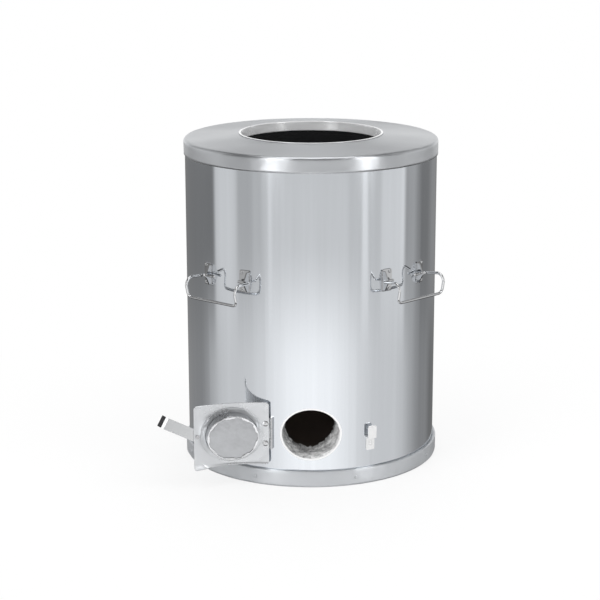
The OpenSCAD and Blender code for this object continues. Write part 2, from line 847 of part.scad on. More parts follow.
module keeper_rivet() {
    color([0.7, 0.7, 0.72])
        at_shell(keeper_phi, keeper_r0 + keeper_t + seat_gap, keeper_rivet_z)
            rivet(shell_t + keeper_t + 3 * seat_gap, rivet_d, rivet_head_d, low_head_h);
}

// One bracket of handle i, at its left ear (s = -1) or its right ear (s = 1)
module bracket(i, s) {
    side = handle_side(i);
    phi = handle_phis[i] + s * ear_phi;
    z0 = handle_z - bracket_h / 2;
    z1 = handle_z + bracket_h / 2;
    wide = bracket_pair + bracket_edge;
    x0 = side < 0 ? -wide : -ear_t;
    x1 = side < 0 ? ear_t : wide;
    bore_h = ear_t + 2 * over;
    color([0.7, 0.7, 0.71])
        difference() {
            union() {
                rotate([0, 0, phi])
                    curved_plate(bracket_r0, bracket_r1, z0, z1)
                        polygon(round_box(x0, x1, z0, z1, bracket_edge / 2, 3));
                rotate([0, 0, handle_phis[i]])
                    translate([s * ear_u - ear_t / 2, 0, handle_z])
                        ear();
            }
            rotate([0, 0, handle_phis[i]])
                translate([s * ear_u, -pivot_v, handle_z])
                    rotate([0, 90, 0])
                        cylinder(d = wire_d + 2 * running_play, h = bore_h, center = true, $fn = fine_fn);
            for (up = [-1, 1])
                at_shell(phi + side * bracket_pair_dphi, shell_r, handle_z + up * rivet_rise)
                    rivet_hole(rivet_d);
        }
}

// The folded ear: a fin that stands off the flange, with a round nose for the wire
module ear() {
    foot_v = ear_base_v + seat_gap + bracket_t / 2;
    half = bracket_h / 2 - bracket_edge / 2;
    rotate([90, 0, 90])
        linear_extrude(height = ear_t)
            polygon(concat(
                [[-foot_v, -half], [-foot_v, half], [-foot_v - ear_flat, half]],
                arc(-pivot_v, 0, ear_nose, 120, 240, 6),
                [[-foot_v - ear_flat, -half]]
            ));
}

module bracket_rivets() {
    color([0.72, 0.72, 0.74])
        for (p = bracket_places)
            at_shell(p[0], bracket_r1 + seat_gap / 2, p[1])
                rivet(shell_t + bracket_t + 2 * seat_gap, rivet_d, rivet_head_d, rivet_head_h);
}

// Bail handles: half of the wire's middle line, from its first bend at the ear to the middle of the grip
function unit(v) = v / norm(v);
// A bend of radius r at point b between a and c, as points
function bend(a, b, c, r) = let (
    p = unit(a - b), q = unit(c - b), half = acos(p * q) / 2, reach = r / tan(half),
    m = unit(p + q), o = b + m * r / sin(half), n = ceil((180 - 2 * half) / wire_step))
    [for (i = [0:n]) let (t = (2 * i / n - 1) * (90 - half), w = unit(q - p))
        o + r * (-m * cos(t) + w * sin(t))];
wire_start = [ear_u + ear_t / 2 + pin_past - sweep_lap, 0, 0];
wire_turn = [arm_u, 0, 0];
wire_elbow = [grip_u, arm_out, arm_rise];
wire_corner = [grip_u, arm_out + grip_lean, arm_rise - arm_drop];
wire_mid = [0, arm_out + grip_lean, arm_rise - arm_drop];
half_wire = concat(
    [wire_start],
    bend(wire_start, wire_turn, wire_elbow, bend_r),
    bend(wire_turn, wire_elbow, wire_corner, elbow_r),
    bend(wire_elbow, wire_corner, wire_mid, corner_r)
);
whole_wire = concat(half_wire, [for (p = reverse(half_wire)) [-p[0], p[1], p[2]]]);

// Frames carried along the wire without twist, and the rings and faces of its tube
function tangent(path, i) = unit(path[min(i + 1, len(path) - 1)] - path[max(i - 1, 0)]);
function side_step(n, t) = unit(n - t * (n * t));
function normals(path, i, n) = i >= len(path) ? [] :
    let (m = side_step(n, tangent(path, i))) concat([m], normals(path, i + 1, m));
function ring(c, t, n, r, k) = let (b = cross(t, n))
    [for (j = [0:k - 1]) let (a = 360 * j / k) c + r * (n * cos(a) + b * sin(a))];
module wire_sweep(path, r, k) {
    ns = normals(path, 0, [0, 0, 1]);
    m = len(path);
    points = [for (i = [0:m - 1]) each ring(path[i], tangent(path, i), ns[i], r, k)];
    sides = [for (i = [0:m - 2]) for (j = [0:k - 1]) let (j2 = (j + 1) % k)
        each [[i * k + j, (i + 1) * k + j, (i + 1) * k + j2], [i * k + j, (i + 1) * k + j2, i * k + j2]]];
    ends = [[for (j = [0:k - 1]) j], [for (j = [k - 1:-1:0]) (m - 1) * k + j]];
    polyhedron(points = points, faces = concat(sides, ends), convexity = 6);
}

module handle(i) {
    pin_l = stub_l + ear_t + pin_past;
    color([0.78, 0.78, 0.79])
        rotate([0, 0, handle_phis[i]])
            translate([0, -pivot_v, handle_z])
                mirror([0, 1, 0])
                    rotate([-handle_drops[i], 0, 0]) {
                        wire_sweep(whole_wire, wire_r * swept_share, wire_sides);
                        for (s = [-1, 1])
                            translate([s * (ear_u + ear_t / 2 + pin_past - pin_l / 2), 0, 0])
                                rotate([0, 90, 0])
                                    cylinder(r = wire_r, h = pin_l, center = true, $fn = fine_fn);
                    }
}

outer_shell();
seam_strip();
seam_rivets();
top_cap();
mouth_collar();
mouth_seal();
base_pan();
pan_rivets();
base_board();
refractory_floor();
clay_pot();
insulation_fill();
draught_sleeve();
hinge_fixed_leaf();
hinge_pin();
hinge_rivets();
latch_keeper();
keeper_rivet();
bracket(0, -1);  // bracket_1_left
bracket(0, 1);  // bracket_1_right
bracket(1, -1);  // bracket_2_left
bracket(1, 1);  // bracket_2_right
bracket(2, -1);  // bracket_3_left
bracket(2, 1);  // bracket_3_right
bracket(3, -1);  // bracket_4_left
bracket(3, 1);  // bracket_4_right
bracket_rivets();
handle(0);  // handle_1
handle(1);  // handle_2
handle(2);  // handle_3
handle(3);  // handle_4
door_plate();
door_hinge_leaf();
door_leaf_rivets();
plug_flange();
plug_collar();
plug_filling();
plug_cover();
latch_pivot();
latch_lever();
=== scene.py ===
# %% [markdown]
# # A clay tandoor oven in a steel barrel
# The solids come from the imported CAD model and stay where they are. This script gives them their
# finishes, adds the hand-made details that a solid model leaves out, and sets up a plain studio.
# Every length is in metres, +Z is up and the draught door faces -Y.

# %% Load the frame
import json
import math

import bmesh
import bpy
import numpy as np
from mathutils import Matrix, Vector


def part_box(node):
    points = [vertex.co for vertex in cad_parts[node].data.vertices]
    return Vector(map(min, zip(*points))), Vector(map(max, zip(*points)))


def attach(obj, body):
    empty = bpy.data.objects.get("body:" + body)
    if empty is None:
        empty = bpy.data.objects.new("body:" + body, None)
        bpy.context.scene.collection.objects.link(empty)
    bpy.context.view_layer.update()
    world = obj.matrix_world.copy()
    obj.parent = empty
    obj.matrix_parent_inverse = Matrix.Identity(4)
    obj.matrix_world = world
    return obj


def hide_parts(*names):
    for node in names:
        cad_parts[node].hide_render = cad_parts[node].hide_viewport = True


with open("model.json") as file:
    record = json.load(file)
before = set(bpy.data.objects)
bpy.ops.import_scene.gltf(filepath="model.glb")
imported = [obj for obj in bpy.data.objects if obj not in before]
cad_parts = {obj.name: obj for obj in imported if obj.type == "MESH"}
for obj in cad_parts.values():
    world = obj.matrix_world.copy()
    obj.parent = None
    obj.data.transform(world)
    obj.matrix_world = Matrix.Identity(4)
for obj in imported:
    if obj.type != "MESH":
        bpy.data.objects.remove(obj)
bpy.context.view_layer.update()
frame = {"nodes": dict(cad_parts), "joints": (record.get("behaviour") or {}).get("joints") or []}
MM = 0.001

# %% [markdown]
# ## The camera
# The photo was taken from a little above the rim with a long lens, so the barrel's sides stay
# nearly parallel. The camera looks down by 14 degrees, and a small sideways shift puts the barrel
# right of the middle, as the photo frames it.

# %% Camera
CAMERA_DISTANCE = 3.836
CAMERA_HEIGHT = 1.3162
CAMERA_PITCH = math.radians(14.24)
LENS = 105.6
SIDE_SHIFT = -0.0182
camera_data = bpy.data.cameras.new("camera")
camera_data.lens = LENS
camera_data.shift_x = SIDE_SHIFT
camera = bpy.data.objects.new("camera", camera_data)
camera.location = (0, -CAMERA_DISTANCE, CAMERA_HEIGHT)
camera.rotation_euler = (math.pi / 2 - CAMERA_PITCH, 0, 0)
bpy.context.scene.collection.objects.link(camera)
bpy.context.scene.camera = camera
bpy.context.scene.view_settings.view_transform = "Standard"
print("camera", CAMERA_DISTANCE, "m away, lens", LENS, "mm")

# %% [markdown]
# ## Shader maths
# A material could be wired by hand, node by node. Here it is written as arithmetic instead: a small
# class wraps a socket and turns `+ - * /` into Math nodes, and one method makes any other node. It
# keeps each finish a few lines long.

# %% Socket arithmetic
class Value:
    """A node's output that can be added, multiplied and so on; each operator adds one Math node."""

    def __init__(self, nodes, socket):
        self.nodes, self.socket = nodes, socket

    def maths(self, operation, *others):
        """The Math node of that operation on this value and the others."""
        inputs = dict(enumerate((self, *others)))
        return self.nodes.make("Math", {"operation": operation}, inputs)

    def __add__(self, other):
        return self.maths("ADD", other)

    def __radd__(self, other):
        return self.maths("ADD", other)

    def __sub__(self, other):
        return self.maths("SUBTRACT", other)

    def __rsub__(self, other):
        return (self * -1).maths("ADD", other)

    def __mul__(self, other):
        return self.maths("MULTIPLY", other)

    def __rmul__(self, other):
        return self.maths("MULTIPLY", other)

    def __truediv__(self, other):
        return self.maths("DIVIDE", other)

    def __pow__(self, other):
        return self.maths("POWER", other)

    def clamp(self):
        """The value held between 0 and 1."""
        return self.maths("MINIMUM", 1).maths("MAXIMUM", 0)


class Nodes:
    """The nodes of one material or of the world."""

    def __init__(self, tree):
        self.tree = tree
        tree.nodes.clear()

    def make(self, kind, settings=None, inputs=None, out=0):
        """A node of that kind: its settings first, then the values or links of its sockets."""
        made = self.tree.nodes.new("ShaderNode" + kind)
        for key, value in (settings or {}).items():
            setattr(made, key, value)
        for key, value in (inputs or {}).items():
            self.plug(made.inputs[key], value)
        return Value(self, made.outputs[out]) if len(made.outputs) else made

    def plug(self, socket, value):
        """A link where the value is another node's output, and otherwise the plain value."""
        if isinstance(value, Value):
            self.tree.links.new(value.socket, socket)
        else:
            socket.default_value = value

    def outputs(self, value, *names):
        """Other outputs of the node that a value comes from, by their names."""
        return [Value(self, value.socket.node.outputs[name]) for name in names]

    def split(self, vector):
        """A vector's x, y and z."""
        return self.outputs(self.make("SeparateXYZ", {}, {0: vector}), "X", "Y", "Z")

    def mix(self, amount, low, high):
        """A colour between two colours."""
        return self.make("Mix", {"data_type": "RGBA"}, {0: amount, 6: low, 7: high}, out=2)

    def step(self, value, start, end):
        """0 below start and 1 above end, with a smooth rise between; it falls if start is above."""
        ends = {1: start, 2: end, 3: 0, 4: 1} if start < end else {1: end, 2: start, 3: 1, 4: 0}
        return self.make("MapRange", {"interpolation_type": "SMOOTHSTEP"}, {0: value, **ends})

    def coordinates(self):
        """The object's own coordinates, in metres."""
        return self.make("TexCoord", out=3)

    def noise(self, scale, stretch=(1, 1, 1), detail=4, rough=0.6):
        """Soft noise from 0 to 1 on the object's own coordinates, closer where stretch is more."""
        where = self.make("Mapping", {}, {0: self.coordinates(), 3: stretch})
        return self.make("TexNoise", {}, {0: where, 2: scale, 3: detail, 4: rough})


print("socket arithmetic ready")

# %% [markdown]
# ## The studio
# Mirror steel shows its surroundings more than itself, so the studio is half of the finish. It
# could be built from real cards and lamps, but bands written as a function of direction are easier
# to set against the photo. The photo's barrel shows a pale floor in front, darker cards behind both
# shoulders and two narrow lights. An upright mirror seen from above reflects downwards, so the
# world below the horizon carries those bands. Its upper half has two bright soft boxes in front and
# dim ones at the sides and behind, which the satin cap and door pick up. The camera itself sees
# plain white.

# %% Directions in the world
WHITE = (1, 1, 1, 1)
world = bpy.data.worlds.new("studio")
bpy.context.scene.world = world
world.use_nodes = True
sky = Nodes(world.node_tree)
ray_x, ray_y, ray_z = sky.split(sky.make("TexCoord", out=0))
azimuth = ray_x.maths("ARCTAN2", ray_y * -1) * (180 / math.pi)
drop = ray_z * -1


def card(centre, half, soft):
    """1 inside half a width of a direction and 0 outside; its edge is soft degrees wide."""
    away = (azimuth - centre).maths("ABSOLUTE")
    away = away.maths("MINIMUM", 360 - away)
    return sky.step(away, half + soft / 2, half - soft / 2)


def lit(base, cards):
    """A base level plus the strength of each card that the ray meets."""
    level = base
    for centre, half, soft, strength in cards:
        level = card(centre, half, soft) * strength + level
    return level


print("directions in degrees from the front, to the right")

# %% The floor's bands
# Each card: its direction in degrees from the front, half its width, its soft edge, its strength
LOW_FLOOR = 0.27
LOW_CARDS = [(0, 103, 44, 0.42), (0, 37, 60, 0.45), (156, 14, 16, -0.1)]
HIGH_FLOOR = 0.2
HIGH_CARDS = [
    (-1.5, 96.5, 6, 0.42), (0, 34, 10, 0.07), (80, 13.5, 5, 0.13), (-83, 10, 12, 0.09),
    (-57.5, 13, 6, -0.15), (-49, 5, 6, 0.07), (-37, 2, 3, 0.13), (50, 2, 3, 0.24),
    (104, 10, 16, 0.2), (152, 12, 16, 0.08), (178, 8, 10, 0.2),
]
# The low cards take over from the high ones between these angles below the horizon
LOW_FROM, LOW_WHOLLY = math.radians(12.2), math.radians(16.8)
near = sky.step(drop, math.sin(LOW_FROM), math.sin(LOW_WHOLLY))
floor_light = lit(LOW_FLOOR, LOW_CARDS) * near + lit(HIGH_FLOOR, HIGH_CARDS) * (1 - near)

# A dark strip round the oven's foot draws the dark line along the underside of the wires. It starts
# at one steepness in front and at another behind, and ends before rays that fall straight down.
BEHIND_FROM, BEHIND_WHOLLY = 70, 95
STRIP_IN_FRONT, STRIP_BEHIND, STRIP_END = (0.6, 0.67), (0.5, 0.6), (0.88, 0.8)
STRIP_DARKNESS = 0.92
behind = sky.step(azimuth.maths("ABSOLUTE"), BEHIND_FROM, BEHIND_WHOLLY)
strip = sky.step(drop, *STRIP_IN_FRONT) * (1 - behind) + sky.step(drop, *STRIP_BEHIND) * behind
strip = strip * sky.step(drop, *STRIP_END)
floor_light = floor_light * (1 - strip * STRIP_DARKNESS)
print("floor bands:", len(LOW_CARDS), "low and", len(HIGH_CARDS), "high cards")

# %% The room and its lights
# A dim room that is paler near the horizon, under a bright ceiling. Each light: its direction, half
# its width, its soft edge, its strength, and how high it reaches as the sine of the angle.
ROOM, PALE_BAND, PALE_BAND_TOP = 0.09, 0.29, 0.35
CEILING, CEILING_EDGE = 1.7, (0.86, 0.96)
TOP_SOFTNESS = 0.1
SOFT_BOXES = [
    (-34, 7, 13, 3.3, 0.8), (51, 7, 13, 3.3, 0.8), (180, 38, 44, 0.55, 0.66),
    (-108, 20, 24, 0.4, 0.8), (108, 20, 24, 0.4, 0.8),
]
above = sky.step(ray_z, PALE_BAND_TOP, 0.0) * PALE_BAND + ROOM
for centre, half, soft, strength, top in SOFT_BOXES:
    above = card(centre, half, soft) * strength * sky.step(ray_z, top, top - TOP_SOFTNESS) + above
above = above + sky.step(ray_z, *CEILING_EDGE) * CEILING
print("room with", len(SOFT_BOXES), "lights")

# %% What each ray sees
# The floor's far edge lies a little under eye level. Mirrors see the studio, the camera and clear
# glass see white, and matt surfaces get an even light of this strength from all round.
HORIZON = (-0.165, -0.14)
EVEN_LIGHT = 0.8
seen = floor_light * sky.step(ray_z, *HORIZON[::-1]) + above * sky.step(ray_z, *HORIZON)
is_camera = sky.make("LightPath")
is_glossy, is_clear = sky.outputs(is_camera, "Is Glossy Ray", "Is Transmission Ray")
plain = (is_camera + is_clear).clamp()
strength = seen * is_glossy + (1 - is_glossy) * (plain + (1 - plain) * EVEN_LIGHT)
background = sky.make("Background", {}, {0: WHITE, 1: strength})
sky.make("OutputWorld", {}, {0: background})
print("world with", len(sky.tree.nodes), "nodes")

# %% [markdown]
# ## Floor and lamps
# The photo shows only a faint shadow on white. The floor could be left out and the shadow painted,
# but a real floor catches it at every pose. To the camera it glows almost white, and wholly so
# further out, so that its edge doesn't show. Three wide lamps light the matt surfaces and stay out
# of the reflections, which the world already holds.

# %% Floor
FLOOR_HALF = 6
FLOOR_PAINT = (0.92, 0.92, 0.92, 1)
SHADOW_FROM, SHADOW_TO, SHADOW_SHARE = 0.35, 1.1, 0.25
floor_mesh = bpy.data.meshes.new("floor")
floor_mesh.from_pydata(
    [(x * FLOOR_HALF, y * FLOOR_HALF, 0) for x, y in ((-1, -1), (1, -1), (1, 1), (-1, 1))],
    [], [(0, 1, 2, 3)])
floor = bpy.data.objects.new("floor", floor_mesh)
bpy.context.scene.collection.objects.link(floor)
floor.visible_glossy = False
pale = bpy.data.materials.new("pale_floor")
pale.use_nodes = True
floor_mesh.materials.append(pale)
ground = Nodes(pale.node_tree)
matte = ground.make("BsdfDiffuse", {}, {0: FLOOR_PAINT})
glow = ground.make("Emission", {}, {0: WHITE, 1: 1})
spot_x, spot_y, _ = ground.split(ground.coordinates())
reach = (spot_x * spot_x + spot_y ** 2) ** 0.5
glowing = ground.step(reach, SHADOW_FROM, SHADOW_TO) * SHADOW_SHARE + (1 - SHADOW_SHARE)
mostly = ground.make("LightPath") * glowing
ground.make("OutputMaterial", {}, {0: ground.make("MixShader", {}, {0: mostly, 1: matte, 2: glow})})
print("floor", 2 * FLOOR_HALF, "m wide")

# %% Lamps
# Each lamp: its place, its size and its power in watts. All point at the middle of the barrel.
LAMPS = [((-1.6, -1.8, 2.6), 1.6, 26), ((1.9, -1.2, 2.2), 1.4, 16), ((0.2, 1.9, 2.8), 1.8, 20)]
LAMP_TARGET = Vector((0, 0, 0.35))
for number, (spot, size, power) in enumerate(LAMPS):
    lamp_data = bpy.data.lights.new(f"soft_box_{number}", "AREA")
    lamp_data.size, lamp_data.energy = size, power
    lamp = bpy.data.objects.new(f"soft_box_{number}", lamp_data)
    lamp.location = spot
    lamp.rotation_euler = (LAMP_TARGET - lamp.location).to_track_quat("-Z", "Y").to_euler()
    lamp.visible_glossy = False
    bpy.context.scene.collection.objects.link(lamp)
print(len(LAMPS), "lamps")

# %% [markdown]
# ## Steel finishes
# The barrel is one polished sheet, close to a mirror, with faint upright polishing lines. The cap,
# the pan and the door are satin sheet, rolled and wiped by hand, so their roughness is uneven. A
# finish could be painted as a picture, but noise on the object's own coordinates has no seams,
# holds at any distance and needs nothing from disk. Stretched highlights stand for fine brushing.

# %% Helpers for finishes
# How close the polishing marks lie along each axis: upright lines, or grain in every direction
UPRIGHT = (70, 70, 1.2)
EVERY_WAY = (60, 60, 60)
# Stretched highlights are turned by this share of a full turn
STRETCH_TURN = 0.25
TINT_SHARES = (0.86, 1.08)
SMUDGED = 0.1


def new_finish(name):
    """A material with empty nodes, ready for a finish."""
    made = bpy.data.materials.new(name)
    made.use_nodes = True
    return made, Nodes(made.node_tree)


def close_finish(nodes, inputs):
    """The finish's one principled shader, joined to the output."""
    nodes.make("OutputMaterial", {}, {0: nodes.make("BsdfPrincipled", {}, inputs)})


def relief(nodes, height):
    """A Bump node whose height is in metres."""
    return nodes.make("Bump", {}, {"Strength": 1, "Distance": 1, "Height": height})


def steel(name, tint, shine, uneven, lines, smudge, metal=1.0, stretch=0.0, streaks=0.08,
          line_scale=EVERY_WAY, bump=0, mask=None):
    """Stainless sheet: roughness = shine + uneven * smudges + lines * polishing marks.

    Its colour goes from the darkest to the lightest share of the tint with the same marks, by
    streaks. metal is how far it mirrors and stretch how far its highlights are drawn out. mask
    says where it is bare of metal: a function of the nodes, the colour there and the roughness.
    """
    made, nodes = new_finish(name)
    marks = nodes.noise(1, line_scale)
    stain = nodes.noise(smudge)
    rough = (stain - 0.5) * uneven + (marks - 0.5) * lines + shine
    shade = ((stain - 0.5) * SMUDGED + (marks - 0.5) * streaks + 0.5).clamp()
    dark, light = [tuple(min(part * share, 1) for part in tint) + (1,) for share in TINT_SHARES]
    colour = nodes.mix(shade, dark, light)
    if mask:
        where, other_colour, other_rough = mask[0](nodes), (*mask[1], 1), mask[2]
        colour = nodes.mix(where, colour, other_colour)
        rough = rough + (other_rough - rough) * where
        metal = (1 - where) * metal
    inputs = {
        "Base Color": colour, "Metallic": metal, "Roughness": rough.clamp(),
        "Anisotropic": stretch, "Anisotropic Rotation": STRETCH_TURN}
    if bump:
        inputs["Normal"] = relief(nodes, marks * bump)
    close_finish(nodes, inputs)
    return made


print("a steel's lines run", UPRIGHT, "or", EVERY_WAY)

# %% [markdown]
# ## Two places that differ
# A white rim is painted round the draught hole's cut edge as a painted highlight, and the
# latch lever's bent lip is painted black as a painted reflection of the dark surroundings.
# Both could be pieces of their own, but on the real oven each is the same metal, so a mask finds
# them: the edge by the oval's own radius, and the lip by its distance along the lever.

# %% Masks
HOLE_W, HOLE_H, HOLE_Z = 124 * MM, 109 * MM, 117.5 * MM
EDGE_RING = (0.085, 0.05)
IN_FRONT = (0.0, -0.05)
LEVER_PIVOT = Vector((-0.2413, -0.2943, 0.1185))
LEVER_ALONG = Vector((-0.786, -0.364, 0.4995))
LIP_START, LIP_BLEND = 88.5 * MM, 0.4 * MM


# Painted highlight: the shell is painted matt white in this rim, where its cut edge catches the light
def painted_rim_highlight(nodes):
    """1 where sqrt((x / half width)^2 + (z / half height)^2), the oval's own radius, is near 1."""
    x, y, z = nodes.split(nodes.coordinates())
    along, up = x / (HOLE_W / 2), (z - HOLE_Z) / (HOLE_H / 2)
    away = ((along * along + up * up) ** 0.5 - 1).maths("ABSOLUTE")
    return nodes.step(away, *EDGE_RING) * nodes.step(y, *IN_FRONT)


# Painted reflection: the lip is painted black for the dark surroundings that it mirrors
def painted_lip_reflection(nodes):
    """1 where (point - pivot) . direction, the way along the lever, is past the lip's start."""
    places = {0: nodes.coordinates(), 1: LEVER_PIVOT}
    from_pivot = nodes.make("VectorMath", {"operation": "SUBTRACT"}, places)
    dotted = {0: from_pivot, 1: LEVER_ALONG}
    along = nodes.make("VectorMath", {"operation": "DOT_PRODUCT"}, dotted, out=1)
    return nodes.step(along, LIP_START, LIP_START + LIP_BLEND)


print("the lip starts", LIP_START, "m from the pivot")

# %% [markdown]
# ## One finish for each kind of metal
# The shell is buffed like a mirror, the rolled sheets are satin, and the stamped and riveted
# fittings are duller. One finish for all would make them look cast in one piece. Each tint and
# roughness was set by comparing its part of the render with the photo.

# %% Steels
# After the name and tint: shine, uneven, lines and the smudges' scale
# The shell's mask paints a white rim round the draught hole, a painted highlight
POLISHED = steel(
    "polished_sheet", (0.786, 0.815, 0.852), 0.07, 0.05, 0.05, 5, streaks=0.5,
    line_scale=UPRIGHT, bump=0.02 * MM, mask=(painted_rim_highlight, (0.97, 0.97, 0.97), 0.5))
SATIN = steel("satin_sheet", (0.745, 0.765, 0.79), 0.35, 0.12, 0.03, 9, stretch=0.7)
PAN_SATIN = steel(
    "pan_sheet", (0.655, 0.675, 0.70), 0.36, 0.22, 0.04, 14, metal=0.62, stretch=0.5)
BRUSHED = steel(
    "brushed_collar", (0.945, 0.96, 0.98), 0.25, 0.18, 0.05, 22, metal=0.3, stretch=0.85)
DOOR_SATIN = steel("door_sheet", (0.74, 0.755, 0.775), 0.28, 0.16, 0.05, 16, metal=0.85)
BAND_SATIN = steel("plug_band_sheet", (0.82, 0.83, 0.845), 0.07, 0.08, 0.05, 30)
DISC_SATIN = steel(
    "plug_disc_sheet", (0.49, 0.50, 0.515), 0.22, 0.16, 0.06, 24, metal=0.8, streaks=0.9)
BRIGHT = steel("bright_plate", (0.66, 0.665, 0.675), 0.10, 0.06, 0.02, 40)
HINGE_PLATE = steel("hinge_plate", (0.56, 0.57, 0.585), 0.20, 0.10, 0.03, 30)
PALE = steel("pale_plate", (0.95, 0.955, 0.96), 0.22, 0.08, 0.02, 40, metal=0.45)
# The lever's mask paints its lip black, a painted reflection of the dark surroundings
LEVER = steel(
    "lever_plate", (0.70, 0.71, 0.72), 0.26, 0.10, 0.03, 40, metal=0.6,
    mask=(painted_lip_reflection, (0.015, 0.015, 0.017), 0.5))
RIVET = steel("rivet_steel", (0.64, 0.645, 0.655), 0.16, 0.06, 0.02, 60)
WIRE = steel("bent_wire", (0.74, 0.745, 0.755), 0.05, 0.04, 0.02, 40)
print("steel finishes", POLISHED.name, SATIN.name, RIVET.name, WIRE.name)

# %% [markdown]
# ## Clay, mortar and lining
# The pot is black with soot, the mortar in the draught hole is dry, pale and rough, and the floor
# is fired brick. They could be painted by hand, but all are matt, so two colours mixed by coarse
# and fine noise, and grains with a depth, are enough. The mortar's larger lumps are in its mesh.

# %% Earths
CLOUD_SCALE = 9
GRAIN_ROUGHNESS = 0.2


def earth(name, colours, grain, depth, rough, contrast=0.6):
    """A dry mineral surface: the colours mixed by (clouds + grains - 1) * contrast + 0.5."""
    made, nodes = new_finish(name)
    clouds = nodes.noise(CLOUD_SCALE, detail=6, rough=0.65)
    grains = nodes.noise(grain, detail=6, rough=0.7)
    shade = ((clouds + grains - 1) * contrast + 0.5).clamp()
    close_finish(nodes, {
        "Base Color": nodes.mix(shade, (*colours[0], 1), (*colours[1], 1)),
        "Roughness": (grains * GRAIN_ROUGHNESS + rough).clamp(),
        "Normal": relief(nodes, (grains + clouds) * depth)})
    return made


# Each earth: its dark and light colour, the scale and depth of its grains, and its roughness
SOOT = [(0.004, 0.0043, 0.0048), (0.013, 0.0138, 0.015)]
CLAY = earth("sooted_clay", SOOT, 160, 1.2 * MM, 0.85)
DRY_MORTAR = [(0.17, 0.17, 0.173), (0.9, 0.9, 0.9)]
MORTAR = earth("dried_mortar", DRY_MORTAR, 95, 1.8 * MM, 0.8, contrast=2.8)
FIRED = [(0.05, 0.038, 0.03), (0.14, 0.10, 0.08)]
FIREBRICK = earth("fired_floor", FIRED, 180, 1 * MM, 0.8)
FIBRES = [(0.45, 0.41, 0.30), (0.72, 0.67, 0.52)]
WOOL = earth("mineral_wool", FIBRES, 300, 1 * MM, 0.9)
print("mineral finishes", CLAY.name, MORTAR.name, FIREBRICK.name, WOOL.name)

# %% [markdown]
# ## Surfaces from arrays
# Every new piece is a grid of points worked out with numpy in one go, such as a circle carried
# along a bent wire or a profile carried round an oval. One helper turns such a grid into a mesh.
# Others make the unevenness that hand work leaves. It could be sculpted or come from a displacement
# modifier, but a seeded sum of sine waves is the same at every run and goes where it is told.

# %% Helpers for uneven sheets
FULL_TURN = 2 * math.pi


def lumps(points, size, seed, waves=26):
    """Smooth noise near -1 to 1: the scaled sum of sines about size long, in seeded directions."""
    dice = np.random.default_rng(seed)
    directions = dice.normal(size=(waves, 3)) * FULL_TURN / size / math.sqrt(3)
    phases = dice.uniform(0, FULL_TURN, waves)
    return np.sin(points @ directions.T + phases).sum(-1) / math.sqrt(waves)


def swells(points, table):
    """The sum of lumps(size, seed) * height; each row gives size in mm, seed and height in mm."""
    return sum(lumps(points, size * MM, seed) * height for size, seed, height in table)


def rise(values, start, end):
    """0 before start, 1 after end and 3t^2 - 2t^3 between, as arrays."""
    t = np.clip((values - start) / (end - start), 0, 1)
    return t * t * (3 - 2 * t)


print("halfway up a rise:", float(rise(np.array(0.5), 0, 1)))

# %% From a grid to a piece
MERGE_DISTANCE = 2e-6


def grid_piece(name, points, body, finish, wrap_rows=False, wrap_columns=False):
    """A piece from a grid of points: each square is a face, and a wrapped side closes."""
    rows, columns = points.shape[:2]
    index = np.arange(rows * columns).reshape(rows, columns)
    index = np.vstack([index, index[:1]]) if wrap_rows else index
    index = np.hstack([index, index[:, :1]]) if wrap_columns else index
    corners = [index[:-1, :-1], index[:-1, 1:], index[1:, 1:], index[1:, :-1]]
    faces = np.stack(corners, -1).reshape(-1, 4)
    mesh = bpy.data.meshes.new(name)
    mesh.from_pydata(points.reshape(-1, 3).tolist(), [], faces.tolist())
    shape = bmesh.new()
    shape.from_mesh(mesh)
    bmesh.ops.remove_doubles(shape, verts=shape.verts, dist=MERGE_DISTANCE)
    bmesh.ops.recalc_face_normals(shape, faces=shape.faces)
    shape.to_mesh(mesh)
    shape.free()
    mesh.polygons.foreach_set("use_smooth", np.ones(len(mesh.polygons), bool))
    mesh.materials.append(finish)
    piece = bpy.data.objects.new(name, mesh)
    bpy.context.scene.collection.objects.link(piece)
    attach(piece, body)
    return piece


print("points nearer than", MERGE_DISTANCE, "m become one")

# %% [markdown]
# ## Spun sheets
# The cap, the mouth's collar and the base pan are spun or rolled from sheet and planished by hand,
# so their edges waver and their highlights break up. Each could be a cylinder with its edges
# bevelled. Here each is its section in radius and height, carried round the axis, because one
# section holds the bends and both faces, and noise can then move the sheet a few tenths of a
# millimetre, both faces alike. Sections are in millimetres.

# %% Helpers for spun sheets
SHEET_COLUMNS = 480
AXIS_GUARD = 1e-6


def bend(centre, radius, start, end, steps=9):
    """Points of an arc in radius and height, in mm: centre + radius (cos a, sin a)."""
    angle = np.radians(np.linspace(start, end, steps))
    return np.stack([centre[0] + radius * np.cos(angle), centre[1] + radius * np.sin(angle)], -1)


def filled(section, gap, closed=True):
    """The section in metres, with points added along its sides, no further apart than gap."""
    section = np.vstack([section, section[:1]]) if closed else section
    parts = []
    for here, there in zip(section, section[1:]):
        steps = max(1, math.ceil(np.linalg.norm(there - here) / gap))
        parts.append(here + (there - here) * np.linspace(0, 1, steps, endpoint=False)[:, None])
    return np.vstack(parts if closed else [*parts, section[-1:]]) * MM


def spun(section):
    """Each point (r, z) of the section carried round the axis: (r sin a, -r cos a, z)."""
    angle = np.linspace(0, FULL_TURN, SHEET_COLUMNS, endpoint=False)[None, :]
    r, z = section[:, :1], section[:, 1:]
    return np.stack([r * np.sin(angle), -r * np.cos(angle), z + 0 * angle], -1)


def from_axis(points):
    """The points' distance from the axis in mm, and their direction in degrees from the front."""
    x, y = points[..., 0], points[..., 1]
    return np.hypot(x, y) / MM, np.degrees(np.arctan2(x, -y))


def wavered(points, outward, upward):
    """The points moved away from the axis and up by those amounts, in mm."""
    x, y, z = points[..., 0], points[..., 1], points[..., 2]
    scale = 1 + outward * MM / np.maximum(np.hypot(x, y), AXIS_GUARD)
    return np.stack([x * scale, y * scale, z + upward * MM], -1)


print("spun sheets have", SHEET_COLUMNS, "columns")

